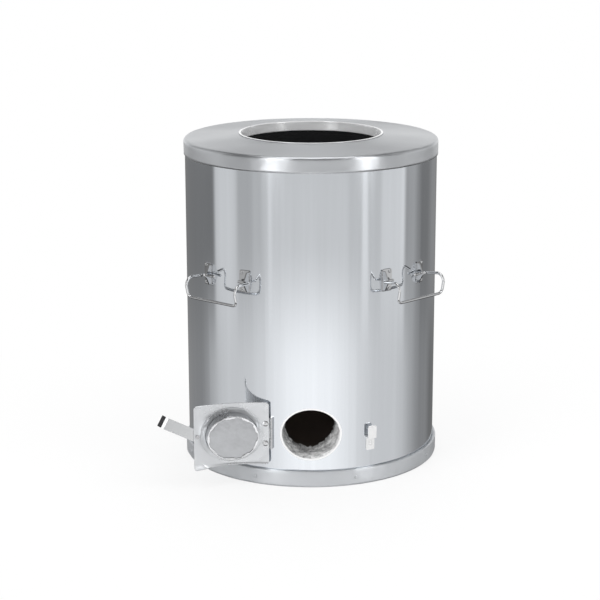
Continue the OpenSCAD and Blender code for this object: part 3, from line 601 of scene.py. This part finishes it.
# %% [markdown]
# ## The cap
# The cap is a shallow cone with a rounded edge and a skirt over the shell. The hammer has left soft
# dimples along its bend, most of them to the right of the front, and the flat has long swells. A
# bump map could fake them, but it leaves the rim's outline perfect, so the sheet itself is moved.

# %% Cap
CAP_R, CAP_Z, CAP_BEND, CAP_T, CAP_SLOPE, SKIRT_Z = 279.5, 714.0, 7.0, 1.2, 4.2, 680.0
COLLAR_R, COLLAR_T, COLLAR_DEEP, COLLAR_LIP = 154.0, 1.2, 21.0, 3.5
COLLAR_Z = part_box("mouth_collar")[1][2] / MM
SEAT_GAP = 0.3
CAP_EDGE = (COLLAR_R + COLLAR_T + SEAT_GAP, COLLAR_Z - COLLAR_T - SEAT_GAP)
CAP_CENTRE = (CAP_R - CAP_BEND, CAP_Z - CAP_BEND)
cap_section = np.vstack([
    [(CAP_R - CAP_T, SKIRT_Z), (CAP_R, SKIRT_Z)], bend(CAP_CENTRE, CAP_BEND, 0, 90 - CAP_SLOPE),
    [CAP_EDGE, (CAP_EDGE[0], CAP_EDGE[1] - CAP_T)],
    bend(CAP_CENTRE, CAP_BEND - CAP_T, 90 - CAP_SLOPE, 0)])

# Where it is beaten, as angles from the front and radii, and how: size, seed, height
BEATEN_AT, BEATEN_FROM, BEATEN_TO, UNBEATEN = 38, 18, 46, 0.75
DIMPLES_AT, DIMPLES_WIDE = 273, 9
FLAT_INSIDE, FLAT_OUTSIDE, SKIRT_FROM = (160, 185), (-279, -262), (274, 278)
FLAT_SWELLS = [(120, 41, 0.55)]
DIMPLES = [(24, 42, 0.22), (10, 44, 0.09)]
SKIRT_SWELLS = [(75, 43, 0.3), (22, 45, 0.1)]
cap =spun(filled(cap_section, 5))
cap_radius, cap_angle = from_axis(cap)
at_bend = np.exp(-((cap_radius - DIMPLES_AT) / DIMPLES_WIDE) ** 2)
beaten = 1 - UNBEATEN * rise(np.abs(cap_angle - BEATEN_AT), BEATEN_FROM, BEATEN_TO)
flat_part = rise(cap_radius, *FLAT_INSIDE) * rise(-cap_radius, *FLAT_OUTSIDE)
cap_up = swells(cap, FLAT_SWELLS) * flat_part + swells(cap, DIMPLES) * at_bend * beaten
cap_out = swells(cap, SKIRT_SWELLS) * rise(cap_radius, *SKIRT_FROM)
cap_piece = grid_piece(
    "cap_sheet", wavered(cap, cap_out, cap_up), "barrel", SATIN,
    wrap_rows=True, wrap_columns=True)
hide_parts("top_cap")
print("cap:", len(cap_piece.data.polygons), "faces")

# %% [markdown]
# ## The mouth's band
# A strip rolled into a ring lines the mouth. Its wall is dented by hand, and two welded seams stand
# a little proud inside, which the photo shows as bright uprights. The seams could be thin strips of
# their own. A bell curve round the ring at each seam's angle makes them grow out of the wall.

# %% Mouth band
COLLAR_SEAMS, SEAM_WIDE, SEAM_HIGH = (-121, 127.5), 0.8, 0.9
COLLAR_SWELLS = [(40, 46, 0.25), (13, 47, 0.1)]
# Depths below the rim, in mm, between which the wall starts to waver
WALL_FROM, WALL_WHOLLY = 1, 3
LIP_R = 0.6
LIP_OUT = (COLLAR_R + COLLAR_T + COLLAR_LIP - LIP_R, COLLAR_Z - LIP_R)
LIP_INSIDE = (COLLAR_R + LIP_R, COLLAR_Z - LIP_R)
collar_section = np.vstack([
    [(COLLAR_R, COLLAR_Z - COLLAR_DEEP), (COLLAR_R + COLLAR_T, COLLAR_Z - COLLAR_DEEP)],
    [(COLLAR_R + COLLAR_T, COLLAR_Z - COLLAR_T)],
    [(COLLAR_R + COLLAR_T + COLLAR_LIP, COLLAR_Z - COLLAR_T)],
    bend(LIP_OUT, LIP_R, 0, 90, 4), bend(LIP_INSIDE, LIP_R, 90, 180, 4)])
collar_points = spun(filled(collar_section, 2))
_, collar_angle = from_axis(collar_points)
collar_wall = rise(-collar_points[..., 2] / MM, WALL_FROM - COLLAR_Z, WALL_WHOLLY - COLLAR_Z)
beads = sum(np.exp(-((collar_angle - seam) / SEAM_WIDE) ** 2) for seam in COLLAR_SEAMS)
collar_in = (beads * SEAM_HIGH + swells(collar_points, COLLAR_SWELLS)) * collar_wall
mouth_band = grid_piece(
    "mouth_band", wavered(collar_points, -collar_in, 0), "barrel", BRUSHED,
    wrap_rows=True, wrap_columns=True)
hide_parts("mouth_collar")
print("mouth band:", len(mouth_band.data.polygons), "faces")

# %% [markdown]
# ## The base pan
# The pan is the tray that the barrel stands in, with a rounded foot and a narrow ledge that meets
# the shell. Its upstand takes the knocks, so it wavers more than the cap. The section is left open
# at the axis, where both faces end in a point. The noise could push both ways, but it only pushes
# inwards, which keeps the pan within the size of the solid.

# %% Base pan
PAN_R, PAN_H, PAN_T, PAN_BEND, PAN_TOP_R = 284.5, 36.0, 1.5, 5.0, 277.3
PAN_CENTRE = (PAN_R - PAN_BEND, PAN_BEND)
PAN_INSET, LEDGE_INSET = 0.6, 0.3
UPSTAND_SWELLS, LEDGE_SWELLS = [(60, 51, 0.35), (18, 52, 0.16)], [(45, 53, 0.22)]
UPSTAND_FROM, LEDGE_FROM = (280.5, 283), (25, 34)
pan_section = np.vstack([
    [(0, 0)], bend(PAN_CENTRE, PAN_BEND, -90, 0),
    bend((PAN_R - PAN_T, PAN_H - PAN_T), PAN_T, 0, 90, 5),
    [(PAN_TOP_R, PAN_H), (PAN_TOP_R, PAN_H - PAN_T), (PAN_R - PAN_T, PAN_H - PAN_T)],
    bend(PAN_CENTRE, PAN_BEND - PAN_T, 0, -90), [(0, PAN_T)]])
pan = spun(filled(pan_section, 6, closed=False))
pan_radius, _ = from_axis(pan)
knocks = np.minimum(swells(pan, UPSTAND_SWELLS) - PAN_INSET, 0)
pan_out = knocks * rise(pan_radius, *UPSTAND_FROM)
pan_up = (swells(pan, LEDGE_SWELLS) - LEDGE_INSET) * rise(pan[..., 2] / MM, *LEDGE_FROM)
pan_piece = grid_piece(
    "pan_sheet", wavered(pan, pan_out, pan_up), "barrel", PAN_SATIN,
    wrap_columns=True)
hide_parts("base_pan")
print("base pan:", len(pan_piece.data.polygons), "faces")

# %% [markdown]
# ## The bail handles
# Each handle is one length of 6 mm wire, bent cold over a former. The ends pass through the folded
# ears and stand out on their far side. A bevelled curve would do, but its ends stay flat. So a
# circle is carried along the wire's middle line, whose corners are arcs, and shrinks to a point
# over the last 3 mm to round off the cut ends.

# %% Wire handles
# Places along the pivot, outwards and up: the cut end, the first bend, the elbow and the grip
WIRE_R = 2.95 * MM
STUB_END, FIRST_BEND_U, ELBOW_U = 31.5 * MM, 64.3 * MM, 68 * MM
ARM_OUT, ARM_RISE, ARM_DROP, GRIP_LEAN = 53.7 * MM, 14.5 * MM, 45 * MM, -2 * MM
BEND_RADII = [7 * MM, 16 * MM, 11 * MM, 11 * MM, 16 * MM, 7 * MM]
# A direction that no run of the wire follows
SLANT = np.array([0.61, 0.62, 0.5])


def unit(vector):
    """The vector over its own length."""
    return vector / np.linalg.norm(vector)


def rounded_path(corners, radii, steps=14):
    """Straight runs whose corners are arcs: each arc's centre lies on the corner's bisector."""
    parts = [corners[:1]]
    for before, corner, after, radius in zip(corners, corners[1:], corners[2:], radii):
        back, ahead = unit(before - corner), unit(after - corner)
        middle, across = unit(back + ahead), unit(ahead - back)
        half = math.acos(back @ ahead) / 2
        swing = np.linspace(half - math.pi / 2, math.pi / 2 - half, steps)[:, None]
        centre = corner + middle * radius / math.sin(half)
        parts.append(centre + radius * (across * np.sin(swing) - middle * np.cos(swing)))
    return np.vstack([*parts, corners[-1:]])


def wire(path, radius, sides=20, cap_steps=6):
    """A tube: circles square to the path, whose radius falls as a quarter circle at both ends."""
    swing = np.linspace(0, math.pi / 2, cap_steps)[:, None]
    starts = path[0] + unit(path[1] - path[0]) * radius * (1 - np.cos(swing))
    ends = path[-1] + unit(path[-2] - path[-1]) * radius * (1 - np.cos(swing))
    line = np.vstack([starts, path[1:-1], ends[::-1]])
    nose = radius * np.sin(swing[:, 0])
    sizes = np.concatenate([nose, np.full(len(path) - 2, radius), nose[::-1]])
    along = np.gradient(line, axis=0)
    along /= np.linalg.norm(along, axis=1)[:, None]
    side = SLANT - along * (along @ SLANT)[:, None]
    side /= np.linalg.norm(side, axis=1)[:, None]
    turn = np.linspace(0, FULL_TURN, sides, endpoint=False)[None, :, None]
    circle = side[:, None] * np.cos(turn) + np.cross(along, side)[:, None] * np.sin(turn)
    return line[:, None] + circle * sizes[:, None, None]


half_corners = np.array([
    (STUB_END, 0, 0), (FIRST_BEND_U, 0, 0), (ELBOW_U, ARM_OUT, ARM_RISE),
    (ELBOW_U, ARM_OUT + GRIP_LEAN, ARM_RISE - ARM_DROP)])
wire_corners = np.vstack([half_corners, half_corners[::-1] * [-1, 1, 1]])
bail = wire(rounded_path(wire_corners, BEND_RADII), WIRE_R)
print("a bail is", [round(v, 3) for v in np.ptp(bail.reshape(-1, 3), axis=0)], "m in size")

# %% [markdown]
# ## Where the handles hang
# All four are the same wire, and the folded ears hold each one where it was left, a little below
# level. They could be placed by hand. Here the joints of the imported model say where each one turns,
# so a handle sits in its own ears, and its mesh is drawn in the place that the photo shows.

# %% Hang the handles
# How far each handle hangs below level, in degrees
HANDLE_DROPS = [11, 7, 7, 11]
JOINTS = {joint["name"]: joint for joint in frame["joints"]}


def turned(points, angle, centre=(0, 0)):
    """The points turned about an upright line: (x cos a - y sin a, x sin a + y cos a)."""
    x, y = points[..., 0] - centre[0], points[..., 1] - centre[1]
    cosine, sine = math.cos(angle), math.sin(angle)
    new_x, new_y = x * cosine - y * sine + centre[0], x * sine + y * cosine + centre[1]
    return np.stack([new_x, new_y, points[..., 2]], -1)


for number, sag in enumerate(HANDLE_DROPS, 1):
    joint = JOINTS[f"handle_{number}_pivot"]
    around = math.atan2(-joint["axis"][1], -joint["axis"][0])
    dip = math.radians(sag)
    bail_out = bail[..., 1] * math.cos(dip) + bail[..., 2] * math.sin(dip)
    bail_up = bail[..., 2] * math.cos(dip) - bail[..., 1] * math.sin(dip)
    hung = turned(np.stack([bail[..., 0], -bail_out, bail_up], -1), around) + joint["pos_m"]
    handle = grid_piece(
        f"bent_handle_{number}", hung, f"handle_{number}", WIRE, wrap_columns=True)
    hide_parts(f"handle_{number}")
print("a handle has", len(handle.data.vertices), "points")

# %% [markdown]
# ## The mortar round the draught hole
# The passage through the lining is packed by hand with mortar, which dries rough and stops short of
# the shell's edge by a different amount all round. It could be sculpted, but a formula keeps clear
# of the door's plug. Its section is a closed loop of straight runs, carried round an oval that
# narrows towards the pot, and noise pushes the points in and out.

# %% Measures of the mortar
SHELL_R = 277 * MM
MORTAR_WALL = 6 * MM
MORTAR_FRONT, MORTAR_BACK = SHELL_R - 1.8 * MM, 197.5 * MM
OUTER_ROWS, FACE_ROWS, BORE_ROWS = 10, 6, 44
# How far the bore stands inside the hole, in mm, at the top, bottom, right and left
LIP_IN = (-1.5, 2.6, 1.8, 0.4)
END_IN = (-0.5, -0.5, 8.0, 3.0)
# More mortar has slumped into the lower right, past the depth that the plug reaches
SLUMP, SLUMP_TOWARDS, SLUMP_NARROW = 6 * MM, -math.pi / 4, 6
PAST_PLUG = (0.34, 0.62)
# Size, seed and height of the lumps, which are lower at the top and where the plug has to pass
ROUGH = [(34, 3, 2.4), (11, 4, 1.7), (4.5, 5, 0.9)]
SMOOTH_TOP, BESIDE_PLUG, BORE_SHARE = 0.8, 0.25, 0.9
# How far the mortar stops short at the lip and at the end, in mm, and over which depths
RAGGED = [(17, 6, 1.6), (6, 7, 0.9)]
LIP_SUNK, END_SHORT = 2.2, 1.5
LIP_DEPTHS, END_DEPTHS = (0.0, 0.2), (0.7, 1.0)
print("mortar from", MORTAR_FRONT, "to", MORTAR_BACK, "m from the axis")

# %% Mortar lining


def mortar_loop(columns=220):
    """Rows along the section (outer wall, front, bore, back face) by columns round the oval.

    The oval is (w/2 cos a, h/2 sin a), narrowed by an inset that runs from the lip's to the end's
    with depth, each a sum of its four values times a squared sine or cosine of the angle.
    """
    turn = np.linspace(0, FULL_TURN, columns, endpoint=False)[None, :]
    outer = np.linspace(1, 0, OUTER_ROWS)
    front = np.linspace(1, 0, FACE_ROWS + 1)[1:]
    bore = np.linspace(0, 1, BORE_ROWS + 1)[1:]
    back = np.linspace(0, 1, FACE_ROWS + 1)[1:-1]
    outside = np.concatenate([0 * outer + 1, front, 0 * bore, back])[:, None]
    depth = np.concatenate([outer, 0 * front, bore, 0 * back + 1])[:, None]
    facing = (np.sin(turn), -np.sin(turn), np.cos(turn), -np.cos(turn))
    sides = [np.maximum(part, 0) ** 2 for part in facing]
    lip, end = [
        sum(side * value for side, value in zip(sides, values)) * MM for values in (LIP_IN, END_IN)]
    end = end + SLUMP * np.maximum(np.cos(turn - SLUMP_TOWARDS), 0) ** SLUMP_NARROW
    past_plug = rise(depth, *PAST_PLUG)
    inward = 1 - outside
    inset = (lip + (end - lip) * past_plug) * inward - MORTAR_WALL * outside
    x = (HOLE_W - 2 * inset) / 2 * np.cos(turn)
    z = (HOLE_H - 2 * inset) / 2 * np.sin(turn)
    front_y = -np.sqrt(MORTAR_FRONT ** 2 - x ** 2)
    y = front_y + depth * (-MORTAR_BACK - front_y)
    place = np.stack([x, y + 0 * z, z], -1)
    rough = swells(place, ROUGH) * (1 - SMOOTH_TOP * sides[0])
    rough = rough * (BESIDE_PLUG + (1 - BESIDE_PLUG) * past_plug)
    ragged = swells(place, RAGGED)
    shrink = 1 - (np.abs(rough) * inward * BORE_SHARE * MM / (HOLE_H / 2))
    sunk = (LIP_SUNK + ragged) * MM * inward * (1 - rise(depth, *LIP_DEPTHS))
    short = (END_SHORT + 2 * ragged) * MM * inward * rise(depth, *END_DEPTHS)
    y = y + np.maximum(sunk, 0) - np.maximum(short, 0)
    return np.stack([x * shrink, y, z * shrink + HOLE_Z], -1)


lining = grid_piece(
    "mortar_lining", mortar_loop(), "barrel", MORTAR, wrap_rows=True, wrap_columns=True)
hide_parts("draught_sleeve")
print("mortar lining has", len(lining.data.polygons), "faces")

# %% [markdown]
# ## The draught door
# The door is an offcut rolled to the shell's curve and trimmed with hand snips, so its corners are
# bent, its lower edge is folded a little and the sheet is not quite flat. A bevelled box would be
# too clean. It is drawn closed, as a grid of points on the shell's curve pushed in and out, and is
# then turned about the hinge to where the photo shows it. A Solidify modifier gives its thickness.

# %% Helpers for the door
DOOR_SWING = math.radians(-169)
HINGE = JOINTS["door_hinge"]["pos_m"]
SHEET_T = 1.2 * MM
NEAR_ZERO = 1e-9


def rounded_axis(place, middle, reach, over, squeeze):
    """One coordinate: unchanged within reach of the middle, and squeezed by a share past it."""
    kept = np.minimum(np.abs(place - middle), reach)
    return middle + np.sign(place - middle) * (kept + over * squeeze)


def round_corners(x, z, low, high, radius):
    """A rectangle's points with each corner's square squeezed onto its quarter disc.

    Past the straight sides a point's two overhangs are scaled by the longer over their diagonal.
    """
    middle_x, middle_z = (low[0] + high[0]) / 2, (low[1] + high[1]) / 2
    reach_x, reach_z = (high[0] - low[0]) / 2 - radius, (high[1] - low[1]) / 2 - radius
    over_x = np.maximum(np.abs(x - middle_x) - reach_x, 0)
    over_z = np.maximum(np.abs(z - middle_z) - reach_z, 0)
    longest = np.maximum(np.maximum(over_x, over_z), NEAR_ZERO)
    squeeze = longest / np.maximum(np.hypot(over_x, over_z), NEAR_ZERO)
    squeeze = np.where((over_x == 0) | (over_z == 0), 1, squeeze)
    return (rounded_axis(x, middle_x, reach_x, over_x, squeeze),
            rounded_axis(z, middle_z, reach_z, over_z, squeeze))


def on_curve(x, z, radius):
    """Points at that radius from the barrel's axis, in front of it: (x, -sqrt(r^2 - x^2), z)."""
    return np.stack([x, -np.sqrt(radius ** 2 - x ** 2), z + 0 * x], -1)


def thicken(piece, thickness, offset=0.0):
    """Gives an open sheet its thickness, with even walls."""
    solid = piece.modifiers.new("thickness", "SOLIDIFY")
    solid.thickness, solid.offset, solid.use_even_offset = thickness, offset, True


def stations(low, high, corner, count):
    """Evenly spaced places with eight more in each corner."""
    ends = np.linspace(0, corner, 9)[:-1]
    evenly = np.linspace(low + corner, high - corner, count)
    return np.concatenate([low + ends, evenly, high - ends[::-1]])


def swung(points):
    """Points drawn on the closed door, turned about the hinge to the open place."""
    return turned(points, DOOR_SWING, HINGE)


print("the door's hinge is at", [round(v, 4) for v in HINGE])

# %% Door sheet
DOOR_R = SHELL_R + 2.8 * MM
DOOR_X0, DOOR_X1 = -79.5 * MM, 81.5 * MM
DOOR_Z0, DOOR_Z1 = 48.5 * MM, 186.5 * MM
DOOR_CORNER, DOOR_COLUMNS, DOOR_ROWS = 7 * MM, 90, 76
DOOR_SWELLS = [(60, 11, 0.12), (19, 12, 0.04)]
# How far in mm the lower edge, the two lower corners and the crease beside one are pushed in
EDGE_IN, FREE_CORNER_IN, HINGE_CORNER_IN, CREASE_IN = 0.6, 0.25, 0.5, 0.35
# The heights between which the lower edge is folded, and how much lower the fold is at the hinge
FOLD_FROM, FOLD_TO, FOLD_LESS = 1 * MM, 11 * MM, 6 * MM
# A corner's bend: where it starts at the edge, how far the start moves out with height, its width
FREE_AT, FREE_SLANT, FREE_WIDE = 44 * MM, 1.1, 22 * MM
HINGED_AT, HINGED_SLANT, HINGED_WIDE = 46 * MM, 0.9, 18 * MM
CREASE_AT, CREASE_WIDE, CREASE_FADES = 52 * MM, 1.3 * MM, (4 * MM, 20 * MM)
# The free side hangs a little lower from here on, most of all along its lower edge
FREE_FROM, SAG, SAG_HIGH = 10 * MM, 5.5 * MM, 30 * MM


def door_points():
    """The door's sheet: the shell's curve less a folded lower edge, bent corners and a crease."""
    x, z = np.meshgrid(
        stations(DOOR_X0, DOOR_X1, DOOR_CORNER, DOOR_COLUMNS),
        stations(DOOR_Z0, DOOR_Z1, DOOR_CORNER, DOOR_ROWS))
    x, z = round_corners(x, z, (DOOR_X0, DOOR_Z0), (DOOR_X1, DOOR_Z1), DOOR_CORNER)
    up = z - DOOR_Z0
    free = rise(x, FREE_FROM, DOOR_X1)
    low_edge = 1 - rise(up, FOLD_FROM, FOLD_TO - FOLD_LESS * (1 - free))
    free_corner = rise((x - FREE_AT) - up * FREE_SLANT, 0, FREE_WIDE)
    hinge_corner = rise((-x - HINGED_AT) - up * HINGED_SLANT, 0, HINGED_WIDE)
    crease = np.exp(-(((x - CREASE_AT) - up * FREE_SLANT) / CREASE_WIDE) ** 2)
    crease = crease * (1 - rise(up, *CREASE_FADES))
    pushed = EDGE_IN * low_edge + FREE_CORNER_IN * free_corner
    pushed = pushed + HINGE_CORNER_IN * hinge_corner + CREASE_IN * crease
    sag = SAG * free * (1 - rise(up, 0, SAG_HIGH))
    waves = swells(np.stack([x, 0 * x, z], -1), DOOR_SWELLS)
    return on_curve(x, z - sag, DOOR_R + (waves - pushed) * MM)


door = grid_piece("door_sheet", swung(door_points()), "door", DOOR_SATIN)
thicken(door, SHEET_T)
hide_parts("door_plate")
print("door sheet", [round(v, 4) for v in door.dimensions])

# %% [markdown]
# ## The plug
# Behind the door sits an oval plug that fills the draught hole: a ring against the door, a collar
# and a cover. The ring is hammered flat round the collar, so its outer edge is the more uneven one.
# The three could be extruded ovals, but as profiles carried round the same oval they stay in step.

# %% Plug ring
PLUG_W, PLUG_H = 112 * MM, 98 * MM
RING_W, RING_H, RING_PLAY = 133 * MM, 119 * MM, 0.6 * MM
RING_R, RING_ROWS, PLUG_COLUMNS = SHELL_R + 1.3 * MM, 9, 216
EDGE_DENTS, RING_DENTS = [(26, 21, 0.2)], [(9, 22, 0.04)]
PLUG_TURN = np.linspace(0, FULL_TURN, PLUG_COLUMNS, endpoint=False)[None, :]


def dents(points, table):
    """As swells, with each lump's size only, so that the sheet is pushed one way."""
    return sum(np.abs(lumps(points, size * MM, seed)) * height for size, seed, height in table)


def oval(width, height):
    """Points of an oval round the hole's middle: width/2 cos a, and height/2 sin a above it."""
    return width / 2 * np.cos(PLUG_TURN), height / 2 * np.sin(PLUG_TURN) + HOLE_Z


across = np.linspace(0, 1, RING_ROWS)[:, None]
inner_w, inner_h = PLUG_W + RING_PLAY, PLUG_H + RING_PLAY
ring_x, ring_z = oval(inner_w + (RING_W - inner_w) * across, inner_h + (RING_H - inner_h) * across)
ring_place = np.stack([ring_x, 0 * ring_x, ring_z], -1)
beaten_in = dents(ring_place, EDGE_DENTS) * across + dents(ring_place, RING_DENTS)
ring_points = on_curve(ring_x, ring_z, RING_R - beaten_in * MM)
ring = grid_piece(
    "plug_ring", swung(ring_points), "door", DOOR_SATIN, wrap_columns=True)
thicken(ring, SHEET_T)
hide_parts("plug_flange")
print("plug ring", [round(v, 4) for v in ring.dimensions])

# %% [markdown]
# ## The plug's collar
# The collar is a strip rolled into the oval, whose front edge is cut into tabs that are hammered
# over the cover. It could be a tube with a plain hem, and nine separate tabs. Here one profile of
# wall, fold and hem is carried round, and a wave round the oval says how far the hem reaches.

# %% Plug band
PLUG_FRONT = 249 * MM
BAND_T, FOLD_R = 0.9 * MM, 1.6 * MM
WALL_ROWS, FOLD_ROWS = 12, 6
# How far the hem reaches in between the tabs, and how much more on a tab, in mm
TABS, TAB_SHORT, TAB_LONG = 9, 1.2, 2.6
TAB_LIFT = 0.25 * MM
TAB_UNEVEN, TAB_WAVES, TAB_EDGE = 0.6, 3, (-0.35, 0.25)
PRESSED, PRESSED_ROWS = [(21, 24, 0.6), (8, 25, 0.33)], (1, 4)
wall = np.linspace(0, 1, WALL_ROWS)[:, None]
fold = np.linspace(0, math.pi / 2, FOLD_ROWS)[1:, None]
hem = np.linspace(0, 1, FOLD_ROWS)[1:, None]
all_round = 0 * PLUG_TURN
# 1 on a tab and 0 in the cut between two, unevenly spaced
tab_wave = np.cos(TABS * PLUG_TURN + TAB_UNEVEN * np.sin(TAB_WAVES * PLUG_TURN))
tab = rise(tab_wave, *TAB_EDGE)
start_y = np.sqrt(RING_R ** 2 - (PLUG_W / 2 * np.cos(PLUG_TURN)) ** 2)
# Along the profile, how deep each row lies and how far in: the wall, the fold and the hem
band_y = np.vstack([
    start_y + (PLUG_FRONT + FOLD_R - start_y) * wall,
    PLUG_FRONT + FOLD_R - FOLD_R * np.sin(fold) + all_round,
    PLUG_FRONT + TAB_LIFT * hem * tab])
band_in = np.vstack([
    0 * wall + all_round, FOLD_R * (1 - np.cos(fold)) + all_round,
    FOLD_R + (TAB_SHORT + TAB_LONG * tab) * MM * hem])
band_x, band_z = oval(PLUG_W, PLUG_H)
narrow_x, narrow_z = 1 - 2 * band_in / PLUG_W, 1 - 2 * band_in / PLUG_H
band = np.stack([band_x * narrow_x, -band_y, (band_z - HOLE_Z) * narrow_z + HOLE_Z], -1)
pressed = dents(band, PRESSED) * rise(np.arange(len(band)), *PRESSED_ROWS)[:, None]
band[..., 0] -= np.cos(PLUG_TURN) * pressed * MM
band[..., 2] -= np.sin(PLUG_TURN) * pressed * MM
collar = grid_piece(
    "plug_band", swung(band), "door", BAND_SATIN, wrap_columns=True)
thicken(collar, BAND_T, -1)
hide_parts("plug_collar")
print("plug band with", TABS, "tabs")

# %% [markdown]
# ## The plug's cover
# The cover is a thin oval disc, held only by the tabs, so heat and knocks have dished it. A flat
# disc would mirror one even tone. Here rings of points shrink to the middle, and the depth follows
# a parabola, with swells that die out towards the collar, where the disc has to lie flat.

# %% Plug disc
DISC_PLAY, DISC_SUNK, DISC_T, DISH = 3 * MM, 1.9 * MM, 0.8 * MM, 0.5
DISC_RINGS = 40
DISC_SWELLS, DISC_RIPPLES = [(38, 31, 0.28)], [(12, 32, 0.05)]
outwards = np.linspace(0, 1, DISC_RINGS)[:, None]
disc_x, disc_z = oval((PLUG_W - DISC_PLAY) * outwards, (PLUG_H - DISC_PLAY) * outwards)
disc_place = np.stack([disc_x, 0 * disc_x, disc_z], -1)
dished = DISH * (1 - outwards ** 2) - swells(disc_place, DISC_SWELLS) * (1 - outwards ** 4)
dished = dished - swells(disc_place, DISC_RIPPLES)
disc = np.stack([disc_x, -(PLUG_FRONT + DISC_SUNK - dished * MM), disc_z], -1)
cover = grid_piece(
    "plug_disc", swung(disc), "door", DISC_SATIN, wrap_columns=True)
thicken(cover, DISC_T, -1)
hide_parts("plug_cover")
print("plug disc", [round(v, 4) for v in cover.dimensions])

# %% [markdown]
# ## Dress the CAD nodes
# The other pieces keep the solids' own shapes, which are right already, and only take a finish. It
# could be set piece by piece. Here a table names the nodes that differ from their kind, so one look
# shows what is made of what. The hidden nodes behind new pieces are dressed as well, so that no
# node is left bare.

# %% Finishes of the nodes
FINISHES = {
    POLISHED: ["outer_shell", "seam_strip"],
    CLAY: ["clay_pot", "mouth_seal"],
    MORTAR: ["draught_sleeve"],
    FIREBRICK: ["refractory_floor", "base_board"],
    WOOL: ["insulation_fill", "plug_filling"],
    BRUSHED: ["mouth_collar"],
    PAN_SATIN: ["base_pan", "pan_rivets"],
    DOOR_SATIN: ["door_plate", "plug_flange", "plug_collar", "plug_cover"],
    HINGE_PLATE: ["door_hinge_leaf", "hinge_fixed_leaf"],
    PALE: ["latch_keeper", "keeper_rivet"],
    LEVER: ["latch_lever"],
    RIVET: ["latch_pivot", "hinge_pin"],
}
KINDS = [("rivet", RIVET), ("handle", WIRE), ("bracket", BRIGHT)]
CHOSEN = {name: finish for finish, names in FINISHES.items() for name in names}
for name, node in frame["nodes"].items():
    of_kind = next((finish for word, finish in KINDS if word in name), SATIN)
    node.data.materials.clear()
    node.data.materials.append(CHOSEN.get(name, of_kind))
print(len(frame["nodes"]), "nodes dressed")
